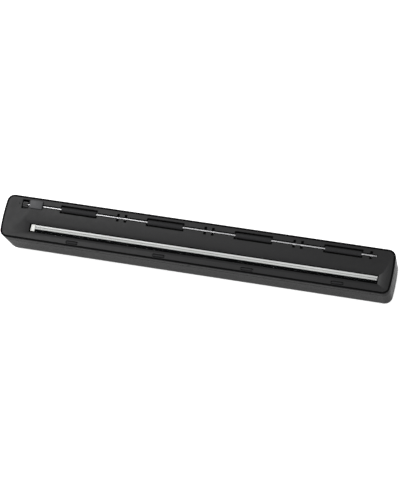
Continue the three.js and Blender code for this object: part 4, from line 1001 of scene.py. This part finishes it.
def soft_box(name, low, high, edge, radius=None):
    """Block with softened top and bottom edges and round corners, between two points."""
    x, y = (low[0] + high[0]) / 2, (low[1] + high[1]) / 2
    half_x, half_y = (high[0] - low[0]) / 2, (high[1] - low[1]) / 2
    corner = radius if radius is not None else edge * 1.5
    steps = 3
    curve = [k / steps * math.pi / 2 for k in range(steps + 1)]
    bottom = [(edge * (1 - math.sin(a)), low[2] + edge * (1 - math.cos(a))) for a in curve]
    top = [(edge * (1 - math.cos(a)), high[2] - edge * (1 - math.sin(a))) for a in curve]
    levels = [(rounded(x, y, half_x - s, half_y - s, corner, 4), z) for s, z in bottom + top]
    return loft(name, levels)


def strip_along_y(name, section, y0, y1):
    """Solid of an (x, z) section pushed from y0 to y1."""
    bm = bmesh.new()
    front = [bm.verts.new((x, y0, z)) for x, z in section]
    rear = [bm.verts.new((x, y1, z)) for x, z in section]
    return close_prism(name, bm, front, rear)


def close_prism(name, bm, first, last):
    """Joins two matching loops of vertices by side faces and closes both ends."""
    for k in range(len(first)):
        after = (k + 1) % len(first)
        bm.faces.new((first[k], first[after], last[after], last[k]))
    bm.faces.new(first)
    bm.faces.new(last)
    return from_bmesh(name, bm)


def lens_row():
    """Row of rod lenses: fine rounded ribs side by side along the whole strip."""
    low, high = box_mm("lens_array")
    count = round((high.x - low.x) / LENS_PITCH)
    pitch = (high.x - low.x) / count
    steps = 6
    crest = []
    for k in range(count):
        for step in range(steps):
            share = step / steps
            z = high.z - RIB_HEIGHT + RIB_HEIGHT * math.sin(share * math.pi)
            crest.append((low.x + (k + share) * pitch, z))
    crest.append((high.x, high.z - RIB_HEIGHT))
    section = [(low.x, low.z), *crest, (high.x, low.z)]
    return strip_along_y("lens_array_rods", section, low.y, high.y)


def light_guide():
    """Clear bar with a rounded upper front edge."""
    low, high = box_mm("light_guide")
    bend = 0.55
    section = [(low.y, low.z), (high.y, low.z)]
    for k in range(5):
        a = k / 4 * math.pi / 2
        section.append((high.y - 0.25 + 0.25 * math.cos(a), high.z - 0.25 + 0.25 * math.sin(a)))
    for k in range(7):
        a = k / 6 * math.pi / 2
        section.append((low.y + bend - bend * math.sin(a), high.z - bend + bend * math.cos(a)))
    bm = bmesh.new()
    left = [bm.verts.new((low.x, y, z)) for y, z in section]
    right = [bm.verts.new((high.x, y, z)) for y, z in section]
    return close_prism("light_guide_bar", bm, left, right)


# ------------------------------------------------------------------ controls


def button_piece(name, node):
    """Dished button cap with a soft edge, its flange and its stem."""
    low, high = box_mm(node)
    x, y, half, radius = BUTTON_PLACES[node]
    flange_z = BACK_THICKNESS + FINE_GAP
    edge, dish = 0.45, 0.12

    def outline(grow):
        return rounded(x, y, half + grow, radius + grow, radius + grow, 10)

    levels = []
    for share in (0.25, 0.5, 0.75):
        shrink = edge + (radius - edge) * (1 - share)
        levels.append((outline(-shrink), low.z + dish * (1 - share * share)))
    for k in range(6):
        a = k / 5 * math.pi / 2
        levels.append((outline(-edge * (1 - math.sin(a))), low.z + edge * (1 - math.cos(a))))
    levels.append((outline(0), flange_z))
    levels.append((outline(BUTTON_FLANGE), flange_z))
    levels.append((outline(BUTTON_FLANGE), flange_z + FLANGE_THICKNESS))
    stem_outline = circle(x, y, STEM_RADIUS, 24)
    stem = loft("stem", [(stem_outline, flange_z + 0.5), (stem_outline, high.z)])
    return join(loft(name, levels), stem)


def status_light():
    """Light pipe with a domed end and a flange behind the back wall."""
    low, high = box_mm("status_light_pipe")
    flange_z = BACK_THICKNESS + FINE_GAP
    flange_top = flange_z + FLANGE_THICKNESS
    profile = [
        (0.6, low.z), (0.95, low.z + 0.07), (LIGHT_RADIUS, low.z + 0.3),
        (LIGHT_RADIUS, flange_z), (LIGHT_FLANGE_RADIUS, flange_z),
        (LIGHT_FLANGE_RADIUS, flange_top), (LIGHT_RADIUS, flange_top),
        (LIGHT_RADIUS, high.z),
    ]
    return loft("status_light_lens", [(circle(*LIGHT_PLACE, radius, 28), z) for radius, z in profile])


def display_pane():
    """Clear pane over the display, with soft edges."""
    low, high = box_mm("display_window")
    return soft_box("display_window_pane", low, high, 0.15, 1.4)


def screw_piece(index):
    """Pan-head screw with a cross recess and a plain thread core with fine rings."""
    low, high = box_mm(f"housing_screw_{index}")
    x, y = SCREW_PLACES[index - 1]
    head_top = low.z + SCREW_HEAD_HEIGHT
    core, crest = 0.85, 1.0
    profile = [
        (1.3, low.z), (1.7, low.z + 0.15), (SCREW_HEAD_RADIUS, low.z + 0.5),
        (SCREW_HEAD_RADIUS, head_top), (core, head_top),
    ]
    turns = 12
    pitch = (high.z - 1.2 - head_top) / turns
    for k in range(turns):
        z = head_top + 0.1 + k * pitch
        profile += [(core, z), (crest, z + pitch * 0.5)]
    profile += [(core, high.z - 1.0), (0.15, high.z)]
    levels = [(circle(x, y, radius, 32), z) for radius, z in profile]
    screw = loft(f"housing_screw_{index}_cross", levels)
    slots = [
        block("cutter", (x - a, y - b, low.z - CUT), (x + a, y + b, low.z + 0.7))
        for a, b in ((1.15, 0.22), (0.22, 1.15))
    ]
    return cut(screw, *slots)


def usb_piece():
    """Socket can with rounded corners and its contact tongue."""
    low, high = box_mm("usb_socket")

    def along_x(name, shrink, radius, x0, x1):
        half_y, half_z = (high.y - low.y) / 2 - shrink, (high.z - low.z) / 2 - shrink
        points = rounded((low.y + high.y) / 2, (low.z + high.z) / 2, half_y, half_z, radius, 5)
        piece = loft(name, [(points, x0), (points, x1)])
        piece.data.transform(Matrix(((0, 0, 1, 0), (1, 0, 0, 0), (0, 1, 0, 0), (0, 0, 0, 1))))
        return piece

    can = along_x("usb_socket_can", 0, 0.7, low.x, high.x)
    mouth = along_x("mouth", USB_WALL, 0.45, low.x - 1, high.x - 1.5)
    tongue_low = (low.x + 1, low.y + 1.6, low.z + 1.6)
    tongue_high = (high.x - 1, high.y - 1.6, low.z + 2.3)
    return join(cut(can, mouth), block("tongue", tongue_low, tongue_high))


def battery_piece(index):
    """Cell with a rolled rim at both ends and its raised nub."""
    low, high = box_mm(f"battery_cell_{index}")
    y, z = (low.y + high.y) / 2, (low.z + high.z) / 2
    radius = (high.z - low.z) / 2
    shoulder = high.x - 1.0
    profile = [
        (low.x + 0.2, 0), (low.x + 0.2, radius - 1.6),
        (low.x, radius - 1.3), (low.x, radius - 0.4),
        (low.x + 0.4, radius), (shoulder - 0.4, radius),
        (shoulder, radius - 0.4), (shoulder, radius - 1.1),
        (shoulder - 0.25, radius - 1.4), (shoulder - 0.25, 2.1), (shoulder, 1.9),
        (high.x - 0.3, 1.9), (high.x, 1.6), (high.x, 0),
    ]
    return lathe(f"battery_cell_{index}_can", profile, y, z, 56)


# ------------------------------------------------------------------ assembly

finish(side_frame(), "shell", "housing", "side_frame")
finish(back_shell(), "shell", "housing", "back_shell")
finish(battery_door(), "shell", "door", "battery_door")
finish(scan_plate(), "plate", "housing", "scan_plate")
finish(gear_cover(), "cover", "housing", "gear_cover")

finish(roller_shaft(), "steel", "drive_shaft", "roller_shaft")
for k in range(1, 5):
    drive = roller(f"drive_roller_{k}_tyre", f"drive_roller_{k}", SHAFT_BORE, 0.25, 64)
    finish(drive, "rubber", "drive_shaft", f"drive_roller_{k}")
    idler = roller(f"idler_roller_{k}_tyre", f"idler_roller_{k}", IDLER_BORE, 0.2, 40)
    finish(idler, "idler", f"idler_{k}", f"idler_roller_{k}")
    # The pins take the near-black steel as painted shade inside the ends of their slots.
    pin = rod_with_ends(f"idler_pin_{k}_rod", f"idler_pin_{k}", 0.08)
    finish(pin, "shaded_pin_steel", "housing", f"idler_pin_{k}")
finish(rod_with_ends("encoder_axle_rod", "encoder_axle", 0.1), "steel", "housing", "encoder_axle")

finish(soft_block("sensor_glass_pane", "sensor_glass", 0.1), "glass", "sensor_bar", "sensor_glass")
finish(lens_row(), "lens", "sensor_bar", "lens_array")
finish(light_guide(), "guide", "sensor_bar", "light_guide")

for name in BUTTON_NODES:
    finish(button_piece(f"{name}_cap", name), "button", name.replace("button", "key"), name)
finish(status_light(), "pipe", "housing", "status_light_pipe")
finish(display_pane(), "window", "housing", "display_window")
finish(soft_block("display_module_panel", "display_module", 0.2), "display", "housing", "display_module")
for k in (1, 2, 3):
    finish(screw_piece(k), "steel", "housing", f"housing_screw_{k}")
finish(usb_piece(), "nickel", "housing", "usb_socket")
for k in (1, 2):
    finish(battery_piece(k), "sleeve", "housing", f"battery_cell_{k}")

# CAD nodes that keep their own shape get a finished material.
CARRIED = {
    # The sensor housing's near-black material is partly painted shade in the window channel.
    "sensor_housing": "sensor", "led_block": "led", "sensor_board": "board",
    "sensor_spring_left": "spring", "sensor_spring_right": "spring", "ribbon_cable": "ribbon",
    "shaft_gear": "nylon", "encoder_gear": "nylon", "shaft_bush": "bronze", "encoder_wheel": "chip",
    "encoder_sensor": "chip", "main_board": "board", "memory_card_socket": "nickel",
    "scan_switch": "chip", "power_switch": "chip", "format_switch": "chip", "colour_switch": "chip",
    "battery_contact_positive": "nickel", "battery_contact_negative": "nickel",
}
for node, material in CARRIED.items():
    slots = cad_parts[node].material_slots
    for slot in slots:
        slot.material = MATERIALS[material]


# ------------------------------------------------------------------ stage, light and camera


def area_light(name, place, target, size, power, size_y=None):
    data = bpy.data.lights.new(name, "AREA")
    data.shape = "RECTANGLE"
    data.size = size
    data.size_y = size_y or size
    data.energy = power
    light = bpy.data.objects.new(name, data)
    bpy.context.scene.collection.objects.link(light)
    light.location = place
    light.rotation_euler = (Vector(target) - Vector(place)).to_track_quat("-Z", "Y").to_euler()
    return light


def studio():
    """Pale seamless floor under large soft lights."""
    glow = {"Emission_Color": (1, 1, 1, 1), "Emission_Strength": 0.6}
    floor_surface = Surface("studio_floor", (0.9, 0.9, 0.9), 0.9, **glow)
    floor_surface.vary_colour(floor_surface.noise(3), 0.995, 1.005)
    bm = bmesh.new()
    below = Matrix.Translation((0, 0, -0.05))
    bmesh.ops.create_grid(bm, x_segments=1, y_segments=1, size=6000, matrix=below)
    floor = from_bmesh("studio_floor", bm)
    floor.data.materials.append(floor_surface.material)
    area_light("key_left", (-0.7, 0.25, 0.9), (0, 0, 0), 0.8, 9.0)
    area_light("front_fill", (0.1, -1.2, 0.7), (0, 0, 0), 1.0, 4.0)
    area_light("right_edge", (1.1, -0.25, 0.3), (0, 0, 0), 0.5, 4.0)
    world = bpy.data.worlds.new("studio_air")
    world.use_nodes = True
    background = world.node_tree.nodes["Background"]
    background.inputs["Color"].default_value = (1, 1, 1, 1)
    background.inputs["Strength"].default_value = 0.6
    bpy.context.scene.world = world


def camera():
    """Camera at the fitted distance, in front and to the right, and turned about its own axis."""
    azimuth, elevation, roll = (math.radians(angle) for angle in (40.8302, 69.6216, -30.4618))
    distance, across, up_shift = 1.294267, 0.0037953, -0.0045079
    back = Vector((
        math.sin(azimuth) * math.cos(elevation),
        -math.cos(azimuth) * math.cos(elevation),
        math.sin(elevation),
    ))
    level_right = Vector((math.cos(azimuth), math.sin(azimuth), 0))
    level_up = back.cross(level_right)
    right = level_right * math.cos(roll) + level_up * math.sin(roll)
    up = level_up * math.cos(roll) - level_right * math.sin(roll)
    data = bpy.data.cameras.new("camera")
    data.lens = 147.61
    data.clip_start = 0.05
    obj = bpy.data.objects.new("camera", data)
    bpy.context.scene.collection.objects.link(obj)
    scan_face = Vector((0, 0, TOP * MM))
    place = scan_face + right * across + up * up_shift + back * distance
    axes = Matrix((right, up, back)).transposed()
    obj.matrix_world = Matrix.Translation(place) @ axes.to_4x4()
    bpy.context.scene.camera = obj


studio()
camera()
bpy.context.scene.view_settings.view_transform = "Standard"
